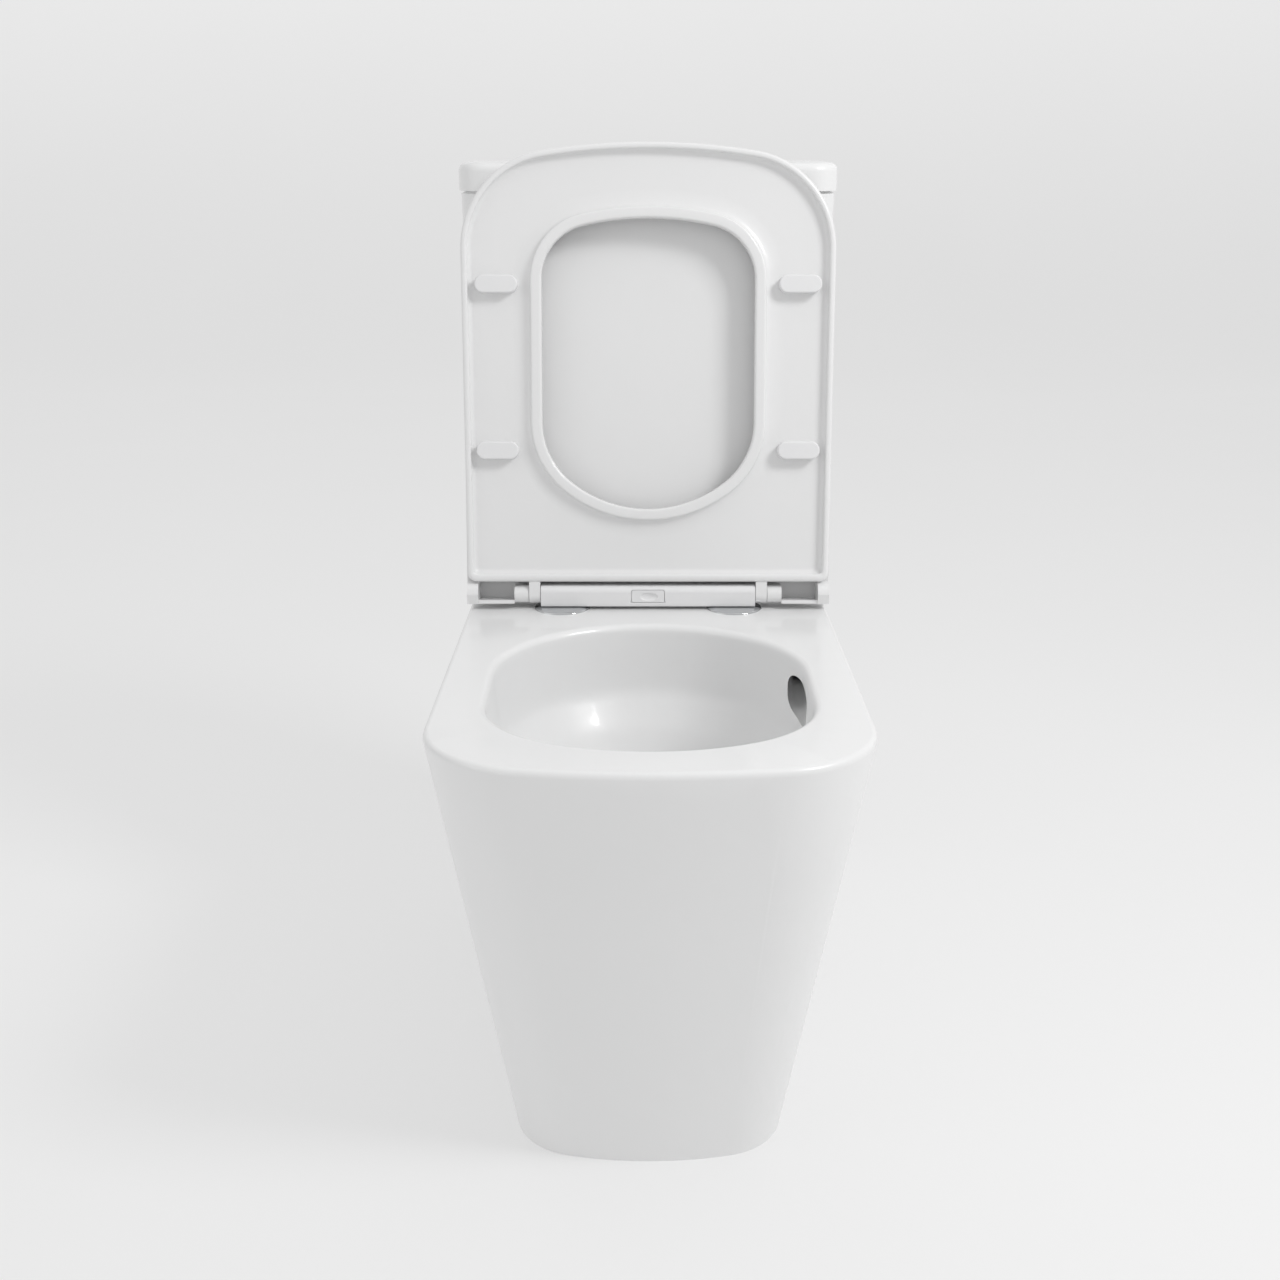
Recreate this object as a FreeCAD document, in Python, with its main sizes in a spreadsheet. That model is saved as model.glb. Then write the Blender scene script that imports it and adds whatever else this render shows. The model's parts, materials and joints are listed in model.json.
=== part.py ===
import FreeCAD, Part
import math
import os
import Sketcher
from FreeCAD import Placement, Rotation, Vector

# A close coupled toilet with a fully skirted pan, a cistern, a dual flush
# mechanism and a quick release seat.  Millimetres, +Z up.  The front faces -Y
# and the back lies against a wall on the +Y side.  The origin is on the floor,
# under the middle of the whole object's bounding box.  The seat ring and the
# lid stand raised, leaning back on the cistern.

DRIVING_SIZES = [
    # overall
    ("Projection", 670, "front of the pan to the wall"),
    ("DeckHeight", 400, "top of the pan above the floor"),
    ("PanHalfWidth", 180, "half width of the pan at its deck"),
    ("PanRearInset", 5, "side of the deck at the wall inside its widest"),
    ("PanCorner", 92, "front corner radius of the deck"),
    ("PanNose", 99, "depth of the rounded front of the deck"),
    ("BaseSetback", 93, "foot of the pan behind the front of the deck"),
    ("BaseHalfWidth", 118, "half width of the pan at the floor"),
    ("BaseCorner", 62, "front corner radius of the foot"),
    ("BaseNose", 68.6, "depth of the rounded front of the foot"),
    ("PanWall", 10, "thickness of the skirt"),
    ("DeckThickness", 14, "thickness of the deck and platform"),
    ("DeckRound", 5, "rounding of the deck's outer edge"),
    ("DeckBand", 6, "height of the upright band round the deck"),
    # bowl
    ("BowlHalfWidth", 136, "half width of the bowl's mouth"),
    ("BowlFrontLand", 50, "deck in front of the bowl's mouth"),
    ("BowlLength", 322, "length of the bowl's mouth"),
    ("BowlFrontCorner", 100, "front corner radius of the mouth"),
    ("BowlRearCorner", 118, "rear corner radius of the mouth"),
    ("BowlWall", 10, "thickness of the bowl"),
    ("BowlRim", 5, "rounding of the bowl's mouth"),
    ("SumpFloor", 112, "height of the bottom of the sump"),
    # trap and waste outlet
    ("TrapBore", 36, "radius of the trap's bore"),
    ("TrapWall", 9, "thickness of the trap"),
    ("TrapHeight", 152, "height of the trap's inlet"),
    ("WeirHeight", 238, "height of the bend over the weir"),
    ("OutletHeight", 180, "height of the waste outlet's axis"),
    ("OutletRadius", 51, "outer radius of the waste outlet"),
    ("OutletLength", 50, "length of the waste outlet's spigot"),
    ("OutletToWall", 50, "end of the outlet to the wall"),
    # flush path in the pan
    ("InletRecess", 45, "radius of the recess for the coupling washer"),
    ("InletRecessDepth", 26, "depth of that recess"),
    ("InletBore", 30, "radius of the flush inlet"),
    ("InletDepth", 66, "depth of the flush inlet"),
    ("DuctBore", 14, "radius of the flush duct"),
    ("DuctWall", 7, "thickness of the flush duct"),
    ("DuctDrop", 38, "flush duct's axis below the deck"),
    ("PortHeight", 30, "height of the side flush port"),
    ("PortDrop", 18, "top of the side flush port below the deck"),
    ("PortReach", 14, "half width of the side flush port"),
    # seat and lid
    ("HingeSetback", 432, "hinge axis behind the front of the pan"),
    ("HingeRise", 14, "hinge axis above the deck"),
    ("SeatLean", 10, "lean of the raised seat past the vertical"),
    ("RingTop", 5, "top of the seat ring above the hinge axis"),
    ("RingUnder", 11, "underside of the seat ring below the hinge axis"),
    ("RingRear", 14, "rear edge of the ring in front of the hinge axis"),
    ("RingRearInset", 3, "side of the ring's rear inside the pan's side"),
    ("RingRim", 7, "thickness of the ring's outer rim"),
    ("RingLip", 9, "width of the lip round the seat hole"),
    ("RingHollow", 8, "depth of the ring's hollow underside"),
    ("HoleHalfWidth", 102.7, "half width of the seat hole"),
    ("HoleFront", 361.5, "front of the seat hole from the hinge axis"),
    ("HoleRear", 84, "rear of the seat hole from the hinge axis"),
    ("HoleFrontCorner", 52, "front corner radius of the seat hole"),
    ("HoleFrontNose", 57.6, "depth of the seat hole's rounded front"),
    ("HoleRearCorner", 74, "rear corner radius of the seat hole"),
    ("HoleRearNose", 84, "depth of the seat hole's rounded rear"),
    ("PadHalfLength", 20.5, "half length of a ring bumper"),
    ("PadRadius", 8.5, "end radius of a ring bumper"),
    ("PadSide", 146, "ring bumpers from the middle"),
    ("PadFront", 299.5, "front bumpers from the hinge axis"),
    ("PadRear", 141, "rear bumpers from the hinge axis"),
    ("LidTop", 21, "top of the lid above the hinge axis"),
    ("LidSkin", 4, "thickness of the lid"),
    ("LidRear", 9.5, "rear edge of the lid behind the hinge axis"),
    ("SeatGap", 0.8, "gap between the ring and the lid"),
    ("EarRadius", 12.5, "radius of the lid's ears round the hinge axis"),
    ("EarInset", 1, "outer face of the lid's ears inside the pan's side"),
    ("EarWidth", 12, "width of the lid's ears"),
    # hinge
    ("BarHalfLength", 105.5, "half length of the hinge bar"),
    ("BarHalfSize", 9.5, "half height and half depth of the hinge bar"),
    ("BarRound", 6.5, "corner radius of the hinge bar"),
    ("ArmWidth", 11, "width of a ring arm"),
    ("ArmRadius", 9, "radius of a ring arm's eye"),
    ("KnuckleWidth", 14, "width of a lid knuckle"),
    ("KnuckleRadius", 8.5, "radius of a lid knuckle"),
    ("PinRadius", 4, "radius of a hinge pin"),
    ("RunningFit", 0.06, "radial clearance of a running pin"),
    ("SideClearance", 0.5, "clearance between moving neighbours"),
    ("DamperRadius", 6, "radius of a soft close damper"),
    ("DamperLength", 62, "length of a soft close damper"),
    ("StudSpacing", 85.2, "seat fixing from the middle"),
    ("StudRadius", 4, "radius of a seat fixing stud"),
    ("PostRadius", 5, "radius of the post above the deck"),
    ("RosetteRadius", 27.5, "radius of a rosette"),
    ("RosetteThickness", 2.6, "thickness of a rosette"),
    ("ButtonHalfWidth", 16, "half width of the release button"),
    ("ButtonHalfHeight", 6, "half height of the release button"),
    ("ReleaseTravel", 2.5, "travel of the release button"),
    # cistern
    ("CisternSetback", 92, "front of the cistern's lid behind the hinge axis"),
    ("CisternLidHalf", 186.5, "half width of the cistern's lid"),
    ("CisternLidHeight", 26.5, "thickness of the cistern's lid"),
    ("CisternLidRound", 8, "rounding of the cistern lid's top edge"),
    ("CisternLidSkin", 12, "thickness of the cistern lid over its hollow"),
    ("CisternTopHalf", 184.5, "half width of the tank at its top"),
    ("CisternFootHalf", 176.5, "half width of the tank at its foot"),
    ("CisternInset", 2.5, "front of the tank behind the front of its lid"),
    ("CisternFootInset", 6, "further inset of the tank's foot"),
    ("CisternTop", 792, "top of the tank above the floor"),
    ("CisternCorner", 26, "corner radius of the tank"),
    ("CisternWall", 10, "thickness of the tank"),
    ("CisternFloor", 12, "thickness of the tank's floor"),
    ("CouplingGap", 4, "gap between the deck and the tank"),
    ("ShadowGap", 2.5, "gap between the tank and its lid"),
    # fixings
    ("BoltSpacing", 75, "cistern bolt from the middle"),
    ("BoltRadius", 4, "radius of a cistern bolt"),
    ("InletSpacing", 130, "water inlet from the middle"),
    ("InletShank", 10.4, "radius of the water inlet's shank"),
    ("InletTail", 10, "radius of the shank's tail, where the supply fits"),
    ("InletTailLength", 22, "length of that tail"),
    ("ServiceHole", 23, "radius of a service hole in the platform"),
    ("HoleClearance", 1.5, "radial clearance of a fixing in its hole"),
    ("FootFixing", 215, "floor fixing in front of the wall"),
    ("FootFixingHeight", 30, "height of the floor fixing's screw"),
    ("FloorScrewHole", 4, "radius of a floor bracket's screw hole"),
    # flush valve
    ("TailRadius", 29, "radius of the flush valve's tail"),
    ("TailWall", 5, "thickness of the flush valve's tail"),
    ("TowerRadius", 42, "radius of the flush valve's tower"),
    ("TowerTop", 680, "top of the flush valve's tower"),
    ("TubeRadius", 12, "radius of the overflow tube"),
    ("TubeTop", 700, "top of the overflow tube"),
    ("SealRadius", 28, "radius of the flush valve's seal"),
    # flush buttons
    ("BezelRadius", 32, "radius of the button's bezel"),
    ("BezelHeight", 3, "height of the bezel on the lid"),
    ("BezelBore", 22.5, "radius of the bezel's bore"),
    ("BezelWall", 2.5, "thickness of the bezel's tube"),
    ("ButtonSplit", 5, "split between the two buttons from the middle"),
    ("FlushTravel", 6, "travel of a flush button"),
    ("RodRadius", 3, "radius of a push rod"),
    ("RodOffset", 16.5, "push rods from the middle"),
    # fill valve
    ("FillColumn", 11, "radius of the fill valve's column"),
    ("FillTop", 690, "top of the fill valve's column"),
    ("FloatRadius", 25, "radius of the fill valve's float"),
    ("FloatHeight", 60, "height of the fill valve's float"),
    ("FloatTravel", 14, "travel of the fill valve's float"),
]

doc = FreeCAD.newDocument("Toilet")
sheet = doc.addObject("Spreadsheet::Sheet", "Sizes")
for row, (alias, number, meaning) in enumerate(DRIVING_SIZES, start=1):
    sheet.set(f"A{row}", meaning)
    sheet.set(f"B{row}", str(number))
    sheet.setAlias(f"B{row}", alias)
doc.recompute()


class Size:
    """A length with the spreadsheet expression that gives it."""

    def __init__(self, value, text):
        self.value, self.text = float(value), text

    def join(self, other, sign, value):
        return Size(value, f"({self.text} {sign} {sized(other).text})")

    def __add__(self, other):
        return self.join(other, "+", self.value + sized(other).value)

    def __sub__(self, other):
        return self.join(other, "-", self.value - sized(other).value)

    def __mul__(self, other):
        return self.join(other, "*", self.value * sized(other).value)

    def __truediv__(self, other):
        return self.join(other, "/", self.value / sized(other).value)

    def __neg__(self):
        return Size(-self.value, f"(0 - {self.text})")

    def __radd__(self, other):
        return sized(other) + self

    def __rsub__(self, other):
        return sized(other) - self

    def __rmul__(self, other):
        return sized(other) * self


def sized(number):
    """A plain number as a Size; a Size as it is."""
    return number if isinstance(number, Size) else Size(number, repr(float(number)))


class Sizes:
    """Reads each driving size from the spreadsheet by its alias."""

    def __getattr__(self, alias):
        return Size(getattr(sheet, alias), f"Sizes.{alias}")


size = Sizes()

# places that follow from the driving sizes
WALL = size.Projection / 2
FRONT = -WALL
PAN_REAR_HALF = size.PanHalfWidth - size.PanRearInset
HINGE_Y = FRONT + size.HingeSetback
HINGE_Z = size.DeckHeight + size.HingeRise
DECK_UNDER = size.DeckHeight - size.DeckThickness
TANK_FRONT = HINGE_Y + size.CisternSetback + size.CisternInset
TANK_FOOT = size.DeckHeight + size.CouplingGap
TANK_FLOOR = TANK_FOOT + size.CisternFloor
TANK_MIDDLE = (TANK_FRONT + size.CisternFootInset + WALL) / 2
LID_FOOT = size.CisternTop + size.ShadowGap
LID_TOP = LID_FOOT + size.CisternLidHeight
LID_UNDER = LID_TOP - size.CisternLidSkin
ARM_INNER = size.BarHalfLength + size.SideClearance
KNUCKLE_INNER = ARM_INNER + size.ArmWidth + size.SideClearance
KNUCKLE_OUTER = KNUCKLE_INNER + size.KnuckleWidth
EAR_OUTER = size.PanHalfWidth - size.EarInset
EAR_INNER = EAR_OUTER - size.EarWidth


# ---------------------------------------------------------------- helpers

nodes = []


def bind(thing, path, amount):
    thing.setExpression(path, sized(amount).text)


def new_body(name):
    body = doc.addObject("PartDesign::Body", name)
    body.Label = name
    return body


def keep(thing, name):
    """Counts an object among the sub-parts that are written."""
    thing.Label = name
    nodes.append(thing)
    return thing


def place(thing, x=0, y=0, z=0):
    """Moves an object to a point given by sizes."""
    for axis, amount in zip("xyz", (x, y, z)):
        bind(thing, f"Placement.Base.{axis}", amount)


def sketch_on(body, role, name, offset=0):
    """A sketch on one of the body's origin planes, moved along its normal."""
    sketch = body.newObject("Sketcher::SketchObject", name)
    support = [item for item in body.Origin.OriginFeatures if item.Role == role][0]
    sketch.AttachmentSupport = [(support, "")]
    sketch.MapMode = "FlatFace"
    bind(sketch, "AttachmentOffset.Base.z", offset)
    sketch.AttachmentOffset = Placement(Vector(0, 0, sized(offset).value), Rotation())
    return sketch


def dimension(sketch, kind, *where, amount):
    """A driving dimension of a sketch, bound to its size."""
    amount = sized(amount)
    index = sketch.addConstraint(Sketcher.Constraint(kind, *where, amount.value))
    bind(sketch, f"Constraints[{index}]", amount)


def pin_point(sketch, geometry, point, x, y):
    """Fixes a point of a sketch at x, y from the origin."""
    for kind, axis, amount in (("DistanceX", -2, sized(x)), ("DistanceY", -1, sized(y))):
        if abs(amount.value) < 1e-9:
            sketch.addConstraint(Sketcher.Constraint("PointOnObject", geometry, point, axis))
        else:
            dimension(sketch, kind, -1, 1, geometry, point, amount=amount)


def draw_loop(sketch, points):
    """A closed outline of straight lines through points given by sizes."""
    corners = [Vector(sized(x).value, sized(y).value, 0) for x, y in points]
    count = len(corners)
    first = sketch.GeometryCount
    for index in range(count):
        sketch.addGeometry(Part.LineSegment(corners[index], corners[(index + 1) % count]), False)
    for index in range(count):
        following = first + (index + 1) % count
        sketch.addConstraint(Sketcher.Constraint("Coincident", first + index, 2, following, 1))
    for index, (x, y) in enumerate(points):
        pin_point(sketch, first + index, 1, x, y)


def draw_circle(sketch, x, y, radius):
    x, y, radius = sized(x), sized(y), sized(radius)
    circle = Part.Circle(Vector(x.value, y.value, 0), Vector(0, 0, 1), radius.value)
    index = sketch.addGeometry(circle, False)
    dimension(sketch, "Radius", index, amount=radius)
    pin_point(sketch, index, 3, x, y)


def nose_radius(half, depth, corner):
    """Radius of the middle arc of a three arc arch."""
    return (half * half - 2 * half * corner + depth * depth) / (2 * (depth - corner))


def arc(centre, radius, start, end):
    """A circular arc from point to point, anticlockwise."""
    circle = Part.Circle(centre, Vector(0, 0, 1), radius)
    return Part.ArcOfCircle(circle, circle.parameter(start), circle.parameter(end))


def arch_points(half, tip, depth, corner, sign):
    """Centres and tangent point of a three arc arch whose tip is at y = tip."""
    half, tip, depth, corner = (sized(item).value for item in (half, tip, depth, corner))
    nose = (half * half - 2 * half * corner + depth * depth) / (2 * (depth - corner))
    spring = tip - sign * depth
    nose_centre = Vector(0, tip - sign * nose, 0)
    corner_centre = Vector(half - corner, spring, 0)
    outward = (corner_centre - nose_centre).normalize()
    return nose, nose_centre, corner_centre, nose_centre + outward * nose


def flip(point):
    return Vector(-point.x, point.y, 0)


def draw_arch(sketch, half, tip, depth, corner, rear, rear_half):
    """A D shaped outline: an arch of three arcs at the front (-Y), nearly straight
    sides that lean in to the rear, and a straight rear edge."""
    nose, nose_centre, corner_centre, joint = arch_points(half, tip, depth, corner, -1)
    half, corner, rear, rear_half = (sized(item) for item in (half, corner, rear, rear_half))
    back = Vector(rear_half.value, rear.value, 0)
    to_back = back - corner_centre
    reach = (to_back.Length ** 2 - corner.value ** 2) ** 0.5
    along = to_back * (reach / to_back.Length ** 2)
    across = Vector(to_back.y, -to_back.x, 0) * (corner.value / to_back.Length ** 2)
    side = back - (along - across) * (reach / (along - across).Length)
    first = sketch.GeometryCount
    nose_arc, right, left, right_side, left_side, rear_line = range(first, first + 6)
    sketch.addGeometry([
        arc(nose_centre, nose, flip(joint), joint),
        arc(corner_centre, corner.value, joint, side),
        arc(flip(corner_centre), corner.value, flip(side), flip(joint)),
        Part.LineSegment(side, back),
        Part.LineSegment(flip(back), flip(side)),
        Part.LineSegment(back, flip(back)),
    ], False)
    for one, one_end, two, two_end in ((nose_arc, 2, right, 1), (right, 2, right_side, 1),
                                       (left, 2, nose_arc, 1), (left_side, 2, left, 1)):
        sketch.addConstraint(Sketcher.Constraint("Tangent", one, one_end, two, two_end))
    sketch.addConstraint(Sketcher.Constraint("Coincident", right_side, 2, rear_line, 1))
    sketch.addConstraint(Sketcher.Constraint("Coincident", rear_line, 2, left_side, 1))
    sketch.addConstraint(Sketcher.Constraint("PointOnObject", nose_arc, 3, -2))
    dimension(sketch, "Radius", right, amount=corner)
    sketch.addConstraint(Sketcher.Constraint("Equal", right, left))
    dimension(sketch, "Radius", nose_arc, amount=nose_radius(half, sized(depth), corner))
    pin_point(sketch, right, 3, half - corner, sized(tip) + depth)
    sketch.addConstraint(Sketcher.Constraint("Horizontal", right, 3, left, 3))
    pin_point(sketch, rear_line, 1, rear_half, rear)
    pin_point(sketch, rear_line, 2, -rear_half, rear)


def draw_oval(sketch, half, front, front_depth, front_corner, back, back_depth, back_corner):
    """A closed oval: an arch of three arcs at each end and straight sides."""
    half, front_corner, back_corner = sized(half), sized(front_corner), sized(back_corner)
    nose_f, nose_centre_f, corner_f, joint_f = arch_points(half, front, front_depth, front_corner, -1)
    nose_b, nose_centre_b, corner_b, joint_b = arch_points(half, back, back_depth, back_corner, 1)
    side_f = Vector(half.value, corner_f.y, 0)
    side_b = Vector(half.value, corner_b.y, 0)
    first = sketch.GeometryCount
    front_nose, right_f, right, right_b, back_nose, left_b, left, left_f = range(first, first + 8)
    sketch.addGeometry([
        arc(nose_centre_f, nose_f, flip(joint_f), joint_f),
        arc(corner_f, front_corner.value, joint_f, side_f),
        Part.LineSegment(side_f, side_b),
        arc(corner_b, back_corner.value, side_b, joint_b),
        arc(nose_centre_b, nose_b, joint_b, flip(joint_b)),
        arc(flip(corner_b), back_corner.value, flip(joint_b), flip(side_b)),
        Part.LineSegment(flip(side_b), flip(side_f)),
        arc(flip(corner_f), front_corner.value, flip(side_f), flip(joint_f)),
    ], False)
    loop = [front_nose, right_f, right, right_b, back_nose, left_b, left, left_f]
    for one, two in zip(loop, loop[1:] + loop[:1]):
        sketch.addConstraint(Sketcher.Constraint("Tangent", one, 2, two, 1))
    for nose in (front_nose, back_nose):
        sketch.addConstraint(Sketcher.Constraint("PointOnObject", nose, 3, -2))
    for right_arc, left_arc, radius in ((right_f, left_f, front_corner),
                                        (right_b, left_b, back_corner)):
        dimension(sketch, "Radius", right_arc, amount=radius)
        sketch.addConstraint(Sketcher.Constraint("Equal", right_arc, left_arc))
        sketch.addConstraint(Sketcher.Constraint("Horizontal", right_arc, 3, left_arc, 3))
    dimension(sketch, "Radius", front_nose,
              amount=nose_radius(half, sized(front_depth), front_corner))
    dimension(sketch, "Radius", back_nose,
              amount=nose_radius(half, sized(back_depth), back_corner))
    pin_point(sketch, right_f, 3, half - front_corner, sized(front) + front_depth)
    sketch.addConstraint(Sketcher.Constraint("Vertical", right))
    dimension(sketch, "DistanceY", -1, 1, right_b, 3, amount=sized(back) - back_depth)


def draw_rounded_rectangle(sketch, left, right, low, high, radius):
    """A rectangle with rounded corners between four sides."""
    left, right, low, high, radius = (sized(item) for item in (left, right, low, high, radius))
    x0, x1, y0, y1, r = left.value, right.value, low.value, high.value, radius.value
    centres = [Vector(x1 - r, y0 + r, 0), Vector(x1 - r, y1 - r, 0),
               Vector(x0 + r, y1 - r, 0), Vector(x0 + r, y0 + r, 0)]
    ways = [Vector(0, -r, 0), Vector(r, 0, 0), Vector(0, r, 0), Vector(-r, 0, 0)]
    first = sketch.GeometryCount
    for index, centre in enumerate(centres):
        start, end = centre + ways[index], centre + ways[(index + 1) % 4]
        following = centres[(index + 1) % 4] + ways[(index + 1) % 4]
        sketch.addGeometry([arc(centre, r, start, end), Part.LineSegment(end, following)], False)
    for index in range(8):
        one, two = first + index, first + (index + 1) % 8
        sketch.addConstraint(Sketcher.Constraint("Tangent", one, 2, two, 1))
    for index in (2, 4, 6):
        sketch.addConstraint(Sketcher.Constraint("Equal", first, first + index))
    for index, way in ((1, "Vertical"), (3, "Horizontal"), (5, "Vertical"), (7, "Horizontal")):
        sketch.addConstraint(Sketcher.Constraint(way, first + index))
    dimension(sketch, "Radius", first, amount=radius)
    dimension(sketch, "DistanceX", -1, 1, first + 1, 1, amount=right)
    dimension(sketch, "DistanceX", -1, 1, first + 5, 1, amount=left)
    dimension(sketch, "DistanceY", -1, 1, first + 3, 1, amount=high)
    dimension(sketch, "DistanceY", -1, 1, first + 7, 1, amount=low)


def feature(body, kind, name, sketch):
    made = body.newObject(f"PartDesign::{kind}", name)
    made.Profile = sketch
    sketch.Visibility = False
    return made


def pad(body, sketch, length, back=False):
    made = feature(body, "Pad", f"{sketch.Name}_pad", sketch)
    bind(made, "Length", length)
    made.Reversed = back
    return made


def pocket(body, sketch, depth, forward=False):
    """Cuts against the sketch's normal, or along it if forward."""
    made = feature(body, "Pocket", f"{sketch.Name}_pocket", sketch)
    bind(made, "Length", depth)
    made.Reversed = forward
    return made


def loft(body, kind, sketches, ruled=True):
    made = feature(body, kind, f"{sketches[0].Name}_loft", sketches[0])
    made.Sections = sketches[1:]
    made.Ruled = ruled
    return made


def round_edges(body, radius, chosen, name):
    """Fillets the edges of the body's tip that the test chooses."""
    doc.recompute()
    tip = body.Tip
    edges = [f"Edge{index}" for index, edge in enumerate(tip.Shape.Edges, start=1) if chosen(edge)]
    made = body.newObject("PartDesign::Fillet", name)
    made.Base = (tip, edges)
    bind(made, "Radius", radius)
    return made


def level(height, tolerance=0.01):
    """A test for edges that lie flat at one height."""
    height = sized(height).value

    def lies(edge):
        box = edge.BoundBox
        return abs(box.ZMin - height) < tolerance and abs(box.ZMax - height) < tolerance
    return lies


def turned(name, profile, x=0, y=0, z=0):
    """A piece turned about a vertical axis from its half section."""
    body = new_body(name)
    sketch = sketch_on(body, "XZ_Plane", f"{name}_section")
    draw_loop(sketch, profile)
    made = body.newObject("PartDesign::Revolution", f"{name}_turn")
    made.Profile = sketch
    made.ReferenceAxis = (sketch, ["V_Axis"])
    made.Angle = 360
    place(body, x, y, z)
    return body


def tube_section(inner, outer, height):
    return [(inner, 0), (outer, 0), (outer, height), (inner, height)]


def mirrored_pair(name, one):
    """The piece and its mirror image across the middle, as one group."""
    other = doc.addObject("Part::Mirroring", f"{name}_other")
    other.Source = one
    other.Normal = Vector(1, 0, 0)
    group = doc.addObject("Part::Compound", f"{name}_group")
    group.Links = [one, other]
    one.Label = f"{name}_one"
    return keep(group, name)


# ---------------------------------------------------------------- pan

def bowl_section(body, name, height, half, front, back, front_corner, back_corner, grow):
    """One level of the bowl, grown by the wall for its outer surface."""
    sketch = sketch_on(body, "XY_Plane", name, height)
    front_depth = front_corner + 8
    back_depth = back_corner + 14
    draw_oval(sketch, half + grow, front - grow, front_depth + grow, front_corner + grow,
              back + grow, back_depth + grow, back_corner + grow)
    return sketch


def bowl_levels(body, name, top, grow):
    """The bowl from its mouth down to the floor of the sump."""
    mouth_front = FRONT + size.BowlFrontLand
    mouth_back = mouth_front + size.BowlLength
    made = []
    for level_name, height, narrower, front_in, back_in, front_corner_in, back_corner_in in (
            ("mouth", top, 0, 0, 0, 0, 0),
            ("shoulder", size.DeckHeight - 70, 8, 14, 4, 8, 8),
            ("waist", size.DeckHeight - 165, 46, 70, 44, 40, 46),
            ("sump", size.SumpFloor - grow, 88, 132, 80, 72, 88)):
        made.append(bowl_section(body, f"{name}_{level_name}", height, size.BowlHalfWidth - narrower,
                                 mouth_front + front_in, mouth_back - back_in,
                                 size.BowlFrontCorner - front_corner_in,
                                 size.BowlRearCorner - back_corner_in, grow))
    return made


def draw_path(sketch, corners, radius):
    """Straight runs joined by tangent arcs of one radius, through the corners."""
    corners = [Vector(sized(x).value, sized(y).value, 0) for x, y in corners]
    start, open_end = corners[0], None
    for before, corner, after in zip(corners, corners[1:], corners[2:]):
        back, onward = (before - corner).normalize(), (after - corner).normalize()
        half_turn = back.getAngle(onward) / 2
        middle_way = (back + onward).normalize()
        run = radius.value / math.tan(half_turn)
        centre = corner + middle_way * (radius.value / math.sin(half_turn))
        entry, leave = corner + back * run, corner + onward * run
        line = sketch.addGeometry(Part.LineSegment(start, entry), False)
        turns_left = (entry - start).cross(leave - corner).z > 0
        ends = (entry, leave) if turns_left else (leave, entry)
        bend = sketch.addGeometry(arc(centre, radius.value, *ends), False)
        begin, end = (1, 2) if turns_left else (2, 1)
        if open_end:
            sketch.addConstraint(Sketcher.Constraint("Tangent", *open_end, line, 1))
        else:
            pin_point(sketch, line, 1, start.x, start.y)
        sketch.addConstraint(Sketcher.Constraint("Tangent", line, 2, bend, begin))
        dimension(sketch, "Radius", bend, amount=radius)
        pin_point(sketch, bend, 3, centre.x, centre.y)
        start, open_end = leave, (bend, end)
    line = sketch.addGeometry(Part.LineSegment(start, corners[-1]), False)
    sketch.addConstraint(Sketcher.Constraint("Tangent", *open_end, line, 1))
    pin_point(sketch, line, 2, corners[-1].x, corners[-1].y)


def pipe(body, kind, path, across, up, along, radius):
    """A round pipe along a path that starts along Y at the given point."""
    name = f"{path.Name}_{kind[:3].lower()}"
    section = sketch_on(body, "XZ_Plane", f"{name}_section", -along)
    draw_circle(section, across, up, radius)
    made = feature(body, kind, f"{name}_pipe", section)
    made.Spine = (path, [f"Edge{index}" for index in range(1, path.GeometryCount + 1)])
    path.Visibility = False
    return made


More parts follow.
